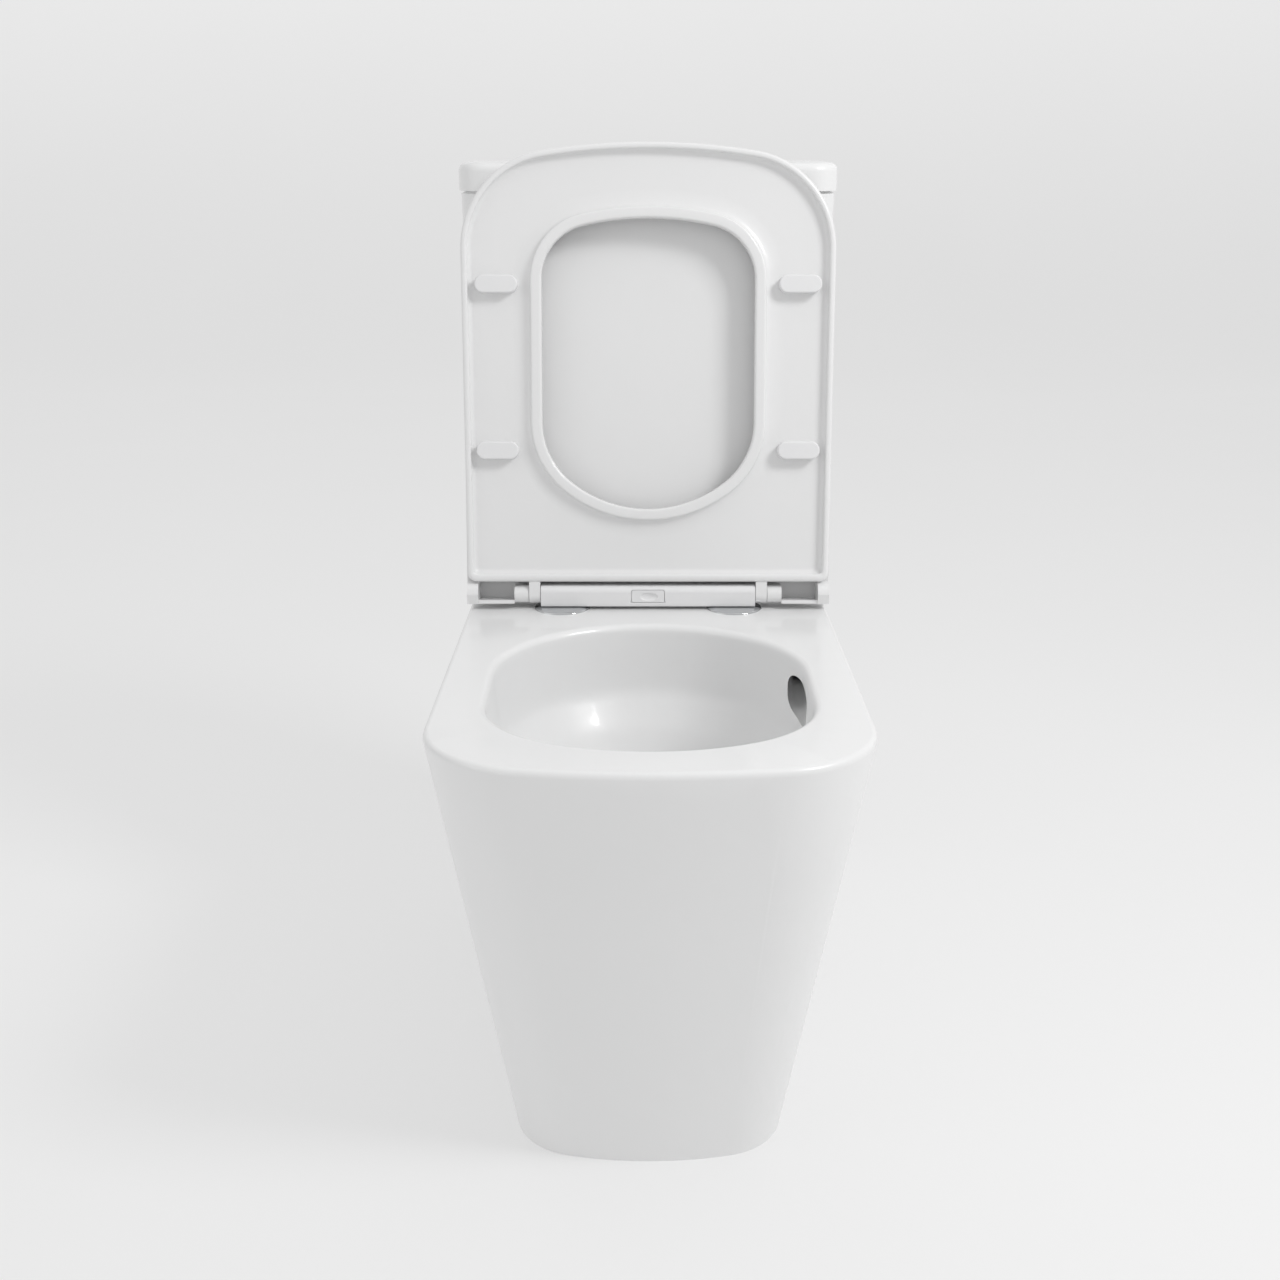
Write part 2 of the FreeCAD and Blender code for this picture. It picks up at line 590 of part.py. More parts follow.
def build_pan():
    body = new_body("pan")
    foot = sketch_on(body, "XY_Plane", "pan_foot")
    draw_arch(foot, size.BaseHalfWidth, FRONT + size.BaseSetback, size.BaseNose,
              size.BaseCorner, WALL, size.BaseHalfWidth)
    brow, deck = [sketch_on(body, "XY_Plane", name, size.DeckHeight - size.DeckBand)
                  for name in ("pan_brow", "pan_deck")]
    for sketch in (brow, deck):
        draw_arch(sketch, size.PanHalfWidth, FRONT, size.PanNose, size.PanCorner, WALL,
                  PAN_REAR_HALF)
    loft(body, "AdditiveLoft", [foot, brow])
    pad(body, deck, size.DeckBand)

    # the hollow under the deck, open at the floor and at the wall
    wall = size.PanWall
    under_foot = sketch_on(body, "XY_Plane", "pan_hollow_foot", -1)
    draw_arch(under_foot, size.BaseHalfWidth - wall, FRONT + size.BaseSetback + wall,
              size.BaseNose - wall, size.BaseCorner - wall, WALL + 5, size.BaseHalfWidth - wall)
    under_deck = sketch_on(body, "XY_Plane", "pan_hollow_top", DECK_UNDER)
    draw_arch(under_deck, size.PanHalfWidth - wall, FRONT + wall, size.PanNose - wall,
              size.PanCorner - wall, WALL + 5, PAN_REAR_HALF - wall)
    loft(body, "SubtractiveLoft", [under_foot, under_deck])
    round_edges(body, size.DeckRound, level(size.DeckHeight), "pan_deck_round")

    # outer surfaces of the bowl, the trap and the flush path
    loft(body, "AdditiveLoft", bowl_levels(body, "bowl_outer", size.DeckHeight - 2, size.BowlWall), False)
    trap = sketch_on(body, "YZ_Plane", "trap_path")
    outlet_end = WALL - size.OutletToWall
    trap_start = HINGE_Y - 225
    draw_path(trap, [(trap_start, size.TrapHeight), (HINGE_Y - 132, size.TrapHeight),
                     (HINGE_Y - 34, size.WeirHeight), (HINGE_Y + 52, size.OutletHeight),
                     (outlet_end, size.OutletHeight)], size.TrapBore + size.TrapWall)
    pipe(body, "AdditivePipe", trap, 0, size.TrapHeight, trap_start, size.TrapBore + size.TrapWall)
    spigot = sketch_on(body, "XZ_Plane", "outlet_spigot", -outlet_end)
    draw_circle(spigot, 0, size.OutletHeight, size.OutletRadius)
    pad(body, spigot, size.OutletLength)
    well = sketch_on(body, "XY_Plane", "inlet_well", size.DeckHeight - 1)
    draw_circle(well, 0, TANK_MIDDLE, size.InletRecess + size.PanWall)
    pad(body, well, size.InletDepth + size.PanWall, back=True)
    duct = sketch_on(body, "XY_Plane", "duct_path", size.DeckHeight - size.DuctDrop)
    duct_start = TANK_MIDDLE - size.InletRecess
    duct_end = size.BowlHalfWidth + 6
    draw_path(duct, [(0, duct_start), (0, HINGE_Y + 100), (duct_end, HINGE_Y + 25),
                     (duct_end, HINGE_Y - 130)], size.DuctBore + 2 * size.DuctWall)
    duct_height = size.DeckHeight - size.DuctDrop
    pipe(body, "AdditivePipe", duct, 0, duct_height, duct_start, size.DuctBore + size.DuctWall)
    housing = sketch_on(body, "XY_Plane", "port_housing", size.DeckHeight - 2)
    port_middle = size.BowlHalfWidth
    port_front, port_back = HINGE_Y - 216, HINGE_Y - 122
    reach = size.PortReach
    draw_rounded_rectangle(housing, port_middle - reach, port_middle + reach + 6,
                           port_front - 6, port_back + 6, reach + 2)
    pad(body, housing, size.PortDrop + size.PortHeight + 6, back=True)

    # the water's way: bowl, trap, outlet, flush inlet, duct and side port
    loft(body, "SubtractiveLoft", bowl_levels(body, "bowl_inner", size.DeckHeight + 1, sized(0)), False)
    pipe(body, "SubtractivePipe", trap, 0, size.TrapHeight, trap_start, size.TrapBore)
    mouth = sketch_on(body, "XZ_Plane", "outlet_mouth", -outlet_end)
    draw_circle(mouth, 0, size.OutletHeight, size.OutletRadius - size.TrapWall)
    pocket(body, mouth, size.OutletLength - 8, forward=True)
    recess = sketch_on(body, "XY_Plane", "inlet_recess", size.DeckHeight)
    draw_circle(recess, 0, TANK_MIDDLE, size.InletRecess)
    pocket(body, recess, size.InletRecessDepth)
    inlet = sketch_on(body, "XY_Plane", "inlet_bore", size.DeckHeight)
    draw_circle(inlet, 0, TANK_MIDDLE, size.InletBore)
    pocket(body, inlet, size.InletDepth)
    pipe(body, "SubtractivePipe", duct, 0, duct_height, duct_start, size.DuctBore)
    link = sketch_on(body, "XZ_Plane", "inlet_link", -(TANK_MIDDLE - size.InletRecess - 1))
    draw_circle(link, 0, duct_height, size.DuctBore)
    pocket(body, link, size.InletRecess - 10)
    port = sketch_on(body, "XY_Plane", "flush_port", size.DeckHeight - size.PortDrop)
    draw_rounded_rectangle(port, port_middle - reach - 8, port_middle + reach - 2,
                           port_front, port_back, reach)
    pocket(body, port, size.PortHeight)

    # fixing and service holes through the platform, and the screws' holes in the skirt
    fixing = size.StudRadius + 2 * size.HoleClearance
    for name, x, y, radius in (("seat_hole", size.StudSpacing, HINGE_Y, fixing),
                               ("bolt_hole", size.BoltSpacing, TANK_MIDDLE,
                                size.BoltRadius + size.HoleClearance),
                               ("service_hole", size.InletSpacing, TANK_MIDDLE, size.ServiceHole)):
        holes = sketch_on(body, "XY_Plane", f"pan_{name}", size.DeckHeight)
        draw_circle(holes, x, y, radius)
        draw_circle(holes, -x, y, radius)
        pocket(body, holes, size.DeckThickness + 1)
    screws = sketch_on(body, "YZ_Plane", "pan_screw_holes", -size.BaseHalfWidth - 20)
    draw_circle(screws, WALL - size.FootFixing, size.FootFixingHeight, size.BoltRadius)
    pocket(body, screws, 2 * size.BaseHalfWidth + 40, forward=True)

    def mouth_edge(edge):
        box = edge.BoundBox
        top = size.DeckHeight.value
        inside = size.PanHalfWidth.value - 20
        return (abs(box.ZMin - top) < 0.01 and abs(box.ZMax - top) < 0.01
                and max(abs(box.XMin), abs(box.XMax)) < inside
                and box.YMax < HINGE_Y.value - 45 and box.YMin > FRONT.value + 20)
    round_edges(body, size.BowlRim, mouth_edge, "bowl_rim")
    return keep(body, "pan")


# ---------------------------------------------------------------- cistern

def build_tank():
    body = new_body("cistern_tank")
    inset, wall, corner = size.CisternFootInset, size.CisternWall, size.CisternCorner
    outer, inner = [], []
    for name, height, half, front in (("foot", TANK_FOOT, size.CisternFootHalf, TANK_FRONT + inset),
                                      ("rim", size.CisternTop, size.CisternTopHalf, TANK_FRONT)):
        sketch = sketch_on(body, "XY_Plane", f"tank_{name}", height)
        draw_rounded_rectangle(sketch, -half, half, front, WALL, corner)
        outer.append(sketch)
    loft(body, "AdditiveLoft", outer)
    for name, height, half, front in (
            ("floor", TANK_FLOOR, size.CisternFootHalf, TANK_FRONT + inset),
            ("mouth", size.CisternTop + 1, size.CisternTopHalf, TANK_FRONT)):
        sketch = sketch_on(body, "XY_Plane", f"tank_{name}", height)
        draw_rounded_rectangle(sketch, wall - half, half - wall, front + wall, WALL - wall,
                               corner - wall)
        inner.append(sketch)
    loft(body, "SubtractiveLoft", inner)
    round_edges(body, size.CisternFloor - 2, level(TANK_FOOT), "tank_foot_round")
    holes = sketch_on(body, "XY_Plane", "tank_holes", TANK_FLOOR + 1)
    draw_circle(holes, 0, TANK_MIDDLE, size.TailRadius + size.HoleClearance)
    for side in (-1, 1):
        draw_circle(holes, side * size.BoltSpacing, TANK_MIDDLE, size.BoltRadius + size.HoleClearance)
    draw_circle(holes, -size.InletSpacing, TANK_MIDDLE, size.InletShank + size.HoleClearance)
    pocket(body, holes, size.CisternFloor + 2)
    return keep(body, "cistern_tank")


def build_cistern_lid():
    body = new_body("cistern_lid")
    half, front = size.CisternLidHalf, TANK_FRONT - size.CisternInset
    corner = size.CisternCorner + size.CisternInset
    slab = sketch_on(body, "XY_Plane", "cistern_lid_slab", LID_FOOT)
    draw_rounded_rectangle(slab, -half, half, front, WALL, corner)
    pad(body, slab, size.CisternLidHeight)
    round_edges(body, size.CisternLidRound, level(LID_TOP), "cistern_lid_round")
    # a foot that rests on the tank's rim, and a spigot inside the rim
    inset = size.CisternLidHalf - size.CisternTopHalf + 3
    foot = sketch_on(body, "XY_Plane", "cistern_lid_foot", size.CisternTop)
    draw_rounded_rectangle(foot, inset - half, half - inset, front + inset, WALL - inset,
                           corner - inset)
    pad(body, foot, size.ShadowGap)
    step = size.CisternLidHalf - size.CisternTopHalf + size.CisternWall + 3
    spigot = sketch_on(body, "XY_Plane", "cistern_lid_spigot", size.CisternTop - 8)
    draw_rounded_rectangle(spigot, step - half, half - step, front + step, WALL - step,
                           corner - step + 4)
    pad(body, spigot, 8)
    step = step + 8
    hollow = sketch_on(body, "XY_Plane", "cistern_lid_hollow", size.CisternTop - 9)
    draw_rounded_rectangle(hollow, step - half, half - step, front + step, WALL - step,
                           corner - step + 12)
    pocket(body, hollow, LID_UNDER - size.CisternTop + 9, forward=True)
    hole = sketch_on(body, "XY_Plane", "cistern_lid_hole", LID_TOP + 1)
    draw_circle(hole, 0, TANK_MIDDLE, size.BezelBore + size.BezelWall + size.HoleClearance)
    pocket(body, hole, size.CisternLidHeight)
    return keep(body, "cistern_lid")


def build_cistern_fixings():
    bolt = size.BoltRadius
    head = 4
    seat = TANK_FLOOR + 3
    one = turned("cistern_bolt", [(0, 0), (bolt, 0), (bolt, 66), (11, 66), (11, 66 + head), (0, 66 + head)],
                 size.BoltSpacing, TANK_MIDDLE, seat - 66)
    mirrored_pair("cistern_bolts", one)
    one = turned("bolt_seal", tube_section(bolt + 0.3, 13, 3), size.BoltSpacing, TANK_MIDDLE, TANK_FLOOR)
    mirrored_pair("bolt_seals", one)
    one = turned("bolt_washer", tube_section(bolt + 0.4, 12, 2), size.BoltSpacing, TANK_MIDDLE,
                 DECK_UNDER - 2)
    mirrored_pair("bolt_washers", one)
    one = wing_nut("wing_nut", bolt + 0.2)
    place(one, size.BoltSpacing, TANK_MIDDLE, DECK_UNDER - 2 - 9)
    mirrored_pair("wing_nuts", one)
    gap = size.CouplingGap
    ring = turned("coupling_seal", tube_section(size.TailRadius + 12, size.InletRecess - 0.5,
                                                gap + size.InletRecessDepth), 0, TANK_MIDDLE,
                  size.DeckHeight - size.InletRecessDepth)
    keep(ring, "coupling_seal")


def wing_nut(name, bore):
    """A hub with two wings, pushed onto the end of a bolt."""
    body = new_body(name)
    hub = sketch_on(body, "XY_Plane", f"{name}_hub")
    draw_circle(hub, 0, 0, bore + 4)
    draw_circle(hub, 0, 0, bore)
    pad(body, hub, 9)
    wings = sketch_on(body, "XZ_Plane", f"{name}_wings", -1.5)
    for side in (-1, 1):
        draw_loop(wings, [(side * (bore + 3), 0), (side * (bore + 14), 0), (side * (bore + 14), 6),
                          (side * (bore + 3), 9)])
    pad(body, wings, 3)
    return body


# ---------------------------------------------------------------- flush valve

def build_flush_valve():
    tail, wall, tower = size.TailRadius, size.TailWall, size.TowerRadius
    tail_length = size.CisternFloor + size.CouplingGap + 18
    flange = 3
    tail_top = TANK_FLOOR + flange
    keep(turned("flush_valve_seat", [
        (tail - wall, 0), (tail, 0), (tail, tail_length + flange), (tower - 2, tail_length + flange),
        (tower - 2, tail_length + flange + 4), (tail, tail_length + flange + 4),
        (tail, tail_length + flange + 8), (tail - wall, tail_length + flange + 8),
    ], 0, TANK_MIDDLE, TANK_FLOOR - tail_length), "flush_valve_seat")
    keep(turned("flush_valve_washer", tube_section(tail + 0.3, tower - 3, flange), 0, TANK_MIDDLE,
                TANK_FLOOR), "flush_valve_washer")
    keep(turned("flush_valve_backnut", tube_section(tail + 0.2, tail + 10, 10), 0, TANK_MIDDLE,
                TANK_FOOT - 12), "flush_valve_backnut")

    # the tower is a slotted tube with a cap that guides the overflow tube
    body = new_body("flush_valve_tower")
    foot = tail_top + 4
    section = sketch_on(body, "XZ_Plane", "tower_section")
    height = size.TowerTop - foot
    guide = size.TubeRadius + 1
    draw_loop(section, [(tower - 3, 0), (tower, 0), (tower, height), (guide, height),
                        (guide, height - 4), (tower - 3, height - 4)])
    turn = body.newObject("PartDesign::Revolution", "tower_turn")
    turn.Profile = section
    turn.ReferenceAxis = (section, ["V_Axis"])
    turn.Angle = 360
    for role, name in (("XZ_Plane", "tower_side_slots"), ("YZ_Plane", "tower_cross_slots")):
        slots = sketch_on(body, role, name, -tower - 1)
        for low, high in ((sized(8), sized(42)), (sized(70), height - 20)):
            draw_loop(slots, [(-14, low), (14, low), (14, high), (-14, high)])
        pocket(body, slots, 2 * tower + 2, forward=True)
    place(body, 0, TANK_MIDDLE, foot)
    keep(body, "flush_valve_tower")

    seal_foot = tail_top + 8 + 0.3
    tube = size.TubeRadius
    keep(turned("flush_valve_seal", tube_section(tube - 2, size.SealRadius, 4), 0, TANK_MIDDLE,
                seal_foot), "flush_valve_seal")
    keep(turned("overflow_tube", [
        (tube - 2, 0), (tube + 12, 0), (tube + 12, 3), (tube, 3), (tube, size.TubeTop - seal_foot - 4),
        (tube - 2, size.TubeTop - seal_foot - 4),
    ], 0, TANK_MIDDLE, seal_foot + 4), "overflow_tube")


# ---------------------------------------------------------------- flush buttons

def build_flush_buttons():
    bore, wall = size.BezelBore, size.BezelWall
    tube = size.CisternLidHeight + 10
    rim = size.BezelHeight
    keep(turned("button_bezel", [
        (bore, 0), (bore + wall, 0), (bore + wall, tube), (size.BezelRadius, tube),
        (size.BezelRadius, tube + rim - 1.2), (size.BezelRadius - 2, tube + rim),
        (bore, tube + rim),
    ], 0, TANK_MIDDLE, LID_TOP - tube), "button_bezel")
    keep(turned("bezel_nut", tube_section(bore + wall + 0.2, size.BezelRadius + 2, 6), 0, TANK_MIDDLE,
                LID_UNDER - 6.2), "bezel_nut")
    gap = size.SideClearance
    for name, side, split in (("full_flush_button", -1, size.ButtonSplit),
                              ("half_flush_button", 1, size.ButtonSplit)):
        body = new_body(name)
        face = sketch_on(body, "XY_Plane", f"{name}_face", LID_TOP - 16)
        draw_segment(face, bore - gap, split + side * gap / 2, side)
        pad(body, face, 16 + rim)
        thumb = sketch_on(body, "XY_Plane", f"{name}_thumb", LID_TOP + rim)
        draw_segment(thumb, bore - 4, split + side * 3, side)
        pocket(body, thumb, 0.8)
        place(body, 0, TANK_MIDDLE, 0)
        keep(body, name)
        rod_name = name.replace("button", "push_rod")
        rod_foot = size.TowerTop + 2 * size.FlushTravel
        keep(turned(rod_name, [(0, 0), (size.RodRadius, 0), (size.RodRadius, LID_TOP - 16 - rod_foot),
                               (0, LID_TOP - 16 - rod_foot)],
                    side * size.RodOffset, TANK_MIDDLE, rod_foot), rod_name)


def draw_segment(sketch, radius, chord, side):
    """The part of a disc on one side of a chord parallel to Y."""
    radius, chord = sized(radius), sized(chord)
    half = (radius.value ** 2 - chord.value ** 2) ** 0.5
    low, high = Vector(chord.value, -half, 0), Vector(chord.value, half, 0)
    start, end = (low, high) if side > 0 else (high, low)
    rim = sketch.addGeometry(arc(Vector(0, 0, 0), radius.value, start, end), False)
    line = sketch.addGeometry(Part.LineSegment(end, start), False)
    sketch.addConstraint(Sketcher.Constraint("Coincident", rim, 3, -1, 1))
    sketch.addConstraint(Sketcher.Constraint("Coincident", rim, 2, line, 1))
    sketch.addConstraint(Sketcher.Constraint("Coincident", line, 2, rim, 1))
    sketch.addConstraint(Sketcher.Constraint("Vertical", line))
    dimension(sketch, "Radius", rim, amount=radius)
    dimension(sketch, "DistanceX", -1, 1, line, 1, amount=chord)


# ---------------------------------------------------------------- fill valve

def build_fill_valve():
    shank, column = size.InletShank, size.FillColumn
    tail = size.CisternFloor + size.CouplingGap + 36
    x = -size.InletSpacing
    top = size.FillTop - TANK_FLOOR
    keep(turned("fill_valve_body", [
        (4, 0), (size.InletTail, 0), (size.InletTail, size.InletTailLength),
        (shank, size.InletTailLength), (shank, tail + 2), (18, tail + 2), (18, tail + 6),
        (column, tail + 12),
        (column, tail + top), (4, tail + top),
    ], x, TANK_MIDDLE, TANK_FLOOR - tail), "fill_valve_body")
    keep(turned("fill_valve_washer", tube_section(shank + 0.3, 18, 2), x, TANK_MIDDLE, TANK_FLOOR),
         "fill_valve_washer")
    keep(turned("fill_valve_backnut", tube_section(shank + 0.2, 17, 9), x, TANK_MIDDLE,
                TANK_FOOT - 9), "fill_valve_backnut")
    cap = new_body("fill_valve_cap")
    dome = sketch_on(cap, "XZ_Plane", "fill_cap_section")
    draw_loop(dome, [(0, 0), (20, 0), (20, 14), (16, 20), (0, 20)])
    turn = cap.newObject("PartDesign::Revolution", "fill_cap_turn")
    turn.Profile = dome
    turn.ReferenceAxis = (dome, ["V_Axis"])
    turn.Angle = 360
    fork = sketch_on(cap, "XZ_Plane", "fill_cap_fork", -6)
    draw_loop(fork, [(18, 2), (31, 2), (31, 12), (18, 12)])
    pad(cap, fork, 12)
    gap = sketch_on(cap, "XZ_Plane", "fill_cap_fork_gap", -3.5)
    draw_loop(gap, [(21, 1), (32, 1), (32, 13), (21, 13)])
    pocket(cap, gap, 7, forward=True)
    hole = sketch_on(cap, "XZ_Plane", "fill_cap_pivot_hole", -7)
    draw_circle(hole, 26, 7, 1.5)
    pocket(cap, hole, 14, forward=True)
    place(cap, x, TANK_MIDDLE, size.FillTop)
    keep(cap, "fill_valve_cap")
    pivot = new_body("lever_pin")
    pivot_section = sketch_on(pivot, "XZ_Plane", "lever_pin_section", -6)
    draw_circle(pivot_section, 26, 7, 1.5)
    pad(pivot, pivot_section, 12)
    place(pivot, x, TANK_MIDDLE, size.FillTop)
    keep(pivot, "lever_pin")
    lever = new_body("fill_valve_lever")
    arm = sketch_on(lever, "XZ_Plane", "lever_arm", -3)
    draw_rounded_rectangle(arm, 22.5, 60, 3.5, 10.5, 3)
    draw_circle(arm, 26, 7, 1.5 + size.RunningFit)
    pad(lever, arm, 6)
    place(lever, x, TANK_MIDDLE, size.FillTop)
    keep(lever, "fill_valve_lever")
    float_foot = TANK_FLOOR + 12.3
    keep(turned("fill_valve_float", tube_section(column + size.SideClearance, size.FloatRadius,
                                                 size.FloatHeight), x, TANK_MIDDLE, float_foot),
         "fill_valve_float")


# ---------------------------------------------------------------- seat hinge

def build_hinge():
    body = new_body("hinge_bar")
    half, length = size.BarHalfSize, size.BarHalfLength
    section = sketch_on(body, "YZ_Plane", "bar_section", -length)
    draw_rounded_rectangle(section, -half, half, -half, half, size.BarRound)
    pad(body, section, 2 * length)
    for name, end, forward in (("right", length, False), ("left", -length, True)):
        bore = sketch_on(body, "YZ_Plane", f"bar_{name}_bore", end)
        draw_circle(bore, 0, 0, size.DamperRadius + 0.1)
        pocket(body, bore, size.DamperLength, forward=forward)
    panel = sketch_on(body, "XZ_Plane", "bar_button_slot", half)
    gap = 0.4
    draw_rounded_rectangle(panel, -size.ButtonHalfWidth - gap, size.ButtonHalfWidth + gap,
                           -size.ButtonHalfHeight - gap, size.ButtonHalfHeight + gap, 2)
    pocket(body, panel, half + 3)
    sockets = sketch_on(body, "XY_Plane", "bar_sockets", -half)
    for side in (-1, 1):
        draw_circle(sockets, side * size.StudSpacing, 0, size.PostRadius + 0.1)
    pocket(body, sockets, 3, forward=True)
    place(body, 0, HINGE_Y, HINGE_Z)
    keep(body, "hinge_bar")

    release = new_body("release_button")
    face = sketch_on(release, "XZ_Plane", "release_face", half)
    draw_rounded_rectangle(face, -size.ButtonHalfWidth, size.ButtonHalfWidth,
                           -size.ButtonHalfHeight, size.ButtonHalfHeight, 1.6)
    pad(release, face, 8, back=True)
    dimple = sketch_on(release, "XZ_Plane", "release_dimple", half)
    draw_rounded_rectangle(dimple, -10, 10, -4, 4, 3.9)
    pocket(release, dimple, 1)
    place(release, 0, HINGE_Y, HINGE_Z)
    keep(release, "release_button")

    inner = length - size.DamperLength
    damper = new_body("soft_close_damper")
    barrel = sketch_on(damper, "YZ_Plane", "damper_barrel", inner)
    draw_circle(barrel, 0, 0, size.DamperRadius)
    pad(damper, barrel, size.DamperLength - 1)
    socket = sketch_on(damper, "YZ_Plane", "damper_socket", length)
    draw_circle(socket, 0, 0, size.PinRadius)
    pocket(damper, socket, 16)
    place(damper, 0, HINGE_Y, HINGE_Z)
    mirrored_pair("soft_close_dampers", damper)

    one = new_body("hinge_pin")
    shaft = sketch_on(one, "YZ_Plane", "hinge_pin_section", length - 16)
    draw_circle(shaft, 0, 0, size.PinRadius)
    pad(one, shaft, KNUCKLE_OUTER - length + 16 - 2)
    place(one, 0, HINGE_Y, HINGE_Z)
    mirrored_pair("hinge_pins", one)

    rosette = turned("rosette", [
        (size.PostRadius + 0.1, 0), (size.RosetteRadius, 0),
        (size.RosetteRadius, size.RosetteThickness - 0.8),
        (size.RosetteRadius - 0.8, size.RosetteThickness),
        (size.PostRadius + 0.1, size.RosetteThickness),
    ], size.StudSpacing, HINGE_Y, size.DeckHeight)
    mirrored_pair("hinge_rosettes", rosette)

    post, stud = size.PostRadius, size.StudRadius
    reach = 64
    rise = size.HingeRise - size.BarHalfSize + 3
    one = turned("seat_stud", [(0, 0), (stud, 0), (stud, reach), (post, reach),
                               (post, reach + rise), (0, reach + rise)],
                 size.StudSpacing, HINGE_Y, size.DeckHeight - reach)
    mirrored_pair("seat_studs", one)
    bush = size.DeckThickness
    one = turned("seat_bush", [(stud + 0.1, 0), (12, 0), (12, 14), (stud + 2.7, 14),
                               (stud + 2.7, 14 + bush - 0.5), (stud + 0.1, 14 + bush - 0.5)],
                 size.StudSpacing, HINGE_Y, DECK_UNDER - 14)
    mirrored_pair("seat_bushes", one)
    one = wing_nut("seat_nut", stud + 0.1)
    place(one, size.StudSpacing, HINGE_Y, DECK_UNDER - 14 - 9)
    mirrored_pair("seat_nuts", one)


# ---------------------------------------------------------------- seat ring and lid

def raise_up(body):
    """Turns a piece modelled as if closed, with its hinge axis along X at the
    origin, to its raised place."""
    body.Placement = Placement(Vector(0, HINGE_Y.value, HINGE_Z.value), Rotation(Vector(1, 0, 0), -100))
    bind(body, "Placement.Rotation.Angle", -(90 + size.SeatLean))
    place(body, 0, HINGE_Y, HINGE_Z)


def seat_outline(sketch, grow, rear, rear_half):
    """The outline shared by the ring and the lid, grown or shrunk."""
    draw_arch(sketch, size.PanHalfWidth + grow, -(size.HingeSetback + grow), size.PanNose + grow,
              size.PanCorner + grow, rear, sized(rear_half) + grow)


def build_ring():
    body = new_body("seat_ring")
    under, top = -size.RingUnder, size.RingTop
    rear = -size.RingRear
    outline = sketch_on(body, "XY_Plane", "ring_outline", under)
    seat_outline(outline, sized(0), rear, size.PanHalfWidth - size.RingRearInset)
    pad(body, outline, top - under)
    round_edges(body, 6, level(top), "ring_top_round")
    round_edges(body, 3, level(under), "ring_rim_round")
    arms = sketch_on(body, "YZ_Plane", "ring_arms", ARM_INNER)
    radius = size.ArmRadius
    draw_eye(arms, radius, rear - 4, radius - 0.5)
    pad(body, arms, size.ArmWidth)
    other = sketch_on(body, "YZ_Plane", "ring_other_arm", -ARM_INNER)
    draw_eye(other, radius, rear - 4, radius - 0.5)
    pad(body, other, size.ArmWidth, back=True)
    hollow = sketch_on(body, "XY_Plane", "ring_hollow", under - 1)
    seat_outline(hollow, -size.RingRim, rear - size.RingRim - 3, size.PanHalfWidth - size.RingRearInset)
    draw_hole(hollow, size.RingLip)
    pocket(body, hollow, size.RingHollow + 1, forward=True)
    hole = sketch_on(body, "XY_Plane", "ring_hole", under - 1)
    draw_hole(hole, sized(0))
    pocket(body, hole, top - under + 2, forward=True)
    bore = sketch_on(body, "YZ_Plane", "ring_bores", -KNUCKLE_OUTER)
    draw_circle(bore, 0, 0, size.PinRadius + size.RunningFit)
    pocket(body, bore, 2 * KNUCKLE_OUTER, forward=True)

    def hole_edges(height, grow):
        reach_front = -(size.HoleFront.value + grow)
        reach_rear = -(size.HoleRear.value - grow)
        half = size.HoleHalfWidth.value + grow

        def chosen(edge):
            box = edge.BoundBox
            return (level(height)(edge) and box.YMin > reach_front - 0.1
                    and box.YMax < reach_rear + 0.1
                    and max(abs(box.XMin), abs(box.XMax)) < half + 0.1)
        return chosen
    round_edges(body, 5, hole_edges(top, 0), "ring_hole_round")
    round_edges(body, 2, hole_edges(under, 0), "ring_lip_round")
    raise_up(body)
    return keep(body, "seat_ring")


def draw_hole(sketch, grow):
    """The outline of the seat's hole, grown for the lip round it."""
    draw_oval(sketch, size.HoleHalfWidth + grow, -(size.HoleFront + grow),
              size.HoleFrontNose + grow, size.HoleFrontCorner + grow,
              grow - size.HoleRear, size.HoleRearNose + grow, size.HoleRearCorner + grow)


def draw_eye(sketch, radius, front, low):
    """An arm that ends in a half round eye about the origin (x is -Y forward)."""
    radius, front, low = sized(radius), sized(front), sized(low)
    top, bottom = Vector(0, radius.value, 0), Vector(0, -radius.value, 0)
    # the arm leaves the eye level at its foot and falls to the ring's top
    points = [(front, size.RingTop - 0.5), (front, -low)]
    eye = sketch.addGeometry(arc(Vector(0, 0, 0), radius.value, bottom, top), False)
    inner = [Vector(sized(x).value, sized(y).value, 0) for x, y in points]
    upper = sketch.addGeometry(Part.LineSegment(top, inner[0]), False)
    end = sketch.addGeometry(Part.LineSegment(inner[0], inner[1]), False)
    lower = sketch.addGeometry(Part.LineSegment(inner[1], bottom), False)
    for one, two in ((eye, upper), (upper, end), (end, lower), (lower, eye)):
        sketch.addConstraint(Sketcher.Constraint("Coincident", one, 2, two, 1))
    sketch.addConstraint(Sketcher.Constraint("Coincident", eye, 3, -1, 1))
    dimension(sketch, "Radius", eye, amount=radius)
    sketch.addConstraint(Sketcher.Constraint("PointOnObject", eye, 1, -2))
    sketch.addConstraint(Sketcher.Constraint("PointOnObject", eye, 2, -2))
    pin_point(sketch, end, 1, *points[0])
    pin_point(sketch, end, 2, *points[1])


def build_ring_bumpers():
    """Rubber feet in the ring's hollow; they meet the deck when the ring is down."""
    one = new_body("ring_bumper")
    foot = size.HingeRise - 0.3
    height = foot - (size.RingUnder - size.RingHollow)
    half, radius = size.PadHalfLength, size.PadRadius
    for name, away in (("front", size.PadFront), ("rear", size.PadRear)):
        outline = sketch_on(one, "XY_Plane", f"{name}_bumper_outline", -foot)
        draw_rounded_rectangle(outline, size.PadSide - half, size.PadSide + half,
                               -away - radius, radius - away, radius - 0.01)
        pad(one, outline, height)
    round_edges(one, 1.5, level(-foot), "bumper_round")
    raise_up(one)
    mirrored_pair("ring_bumpers", one)


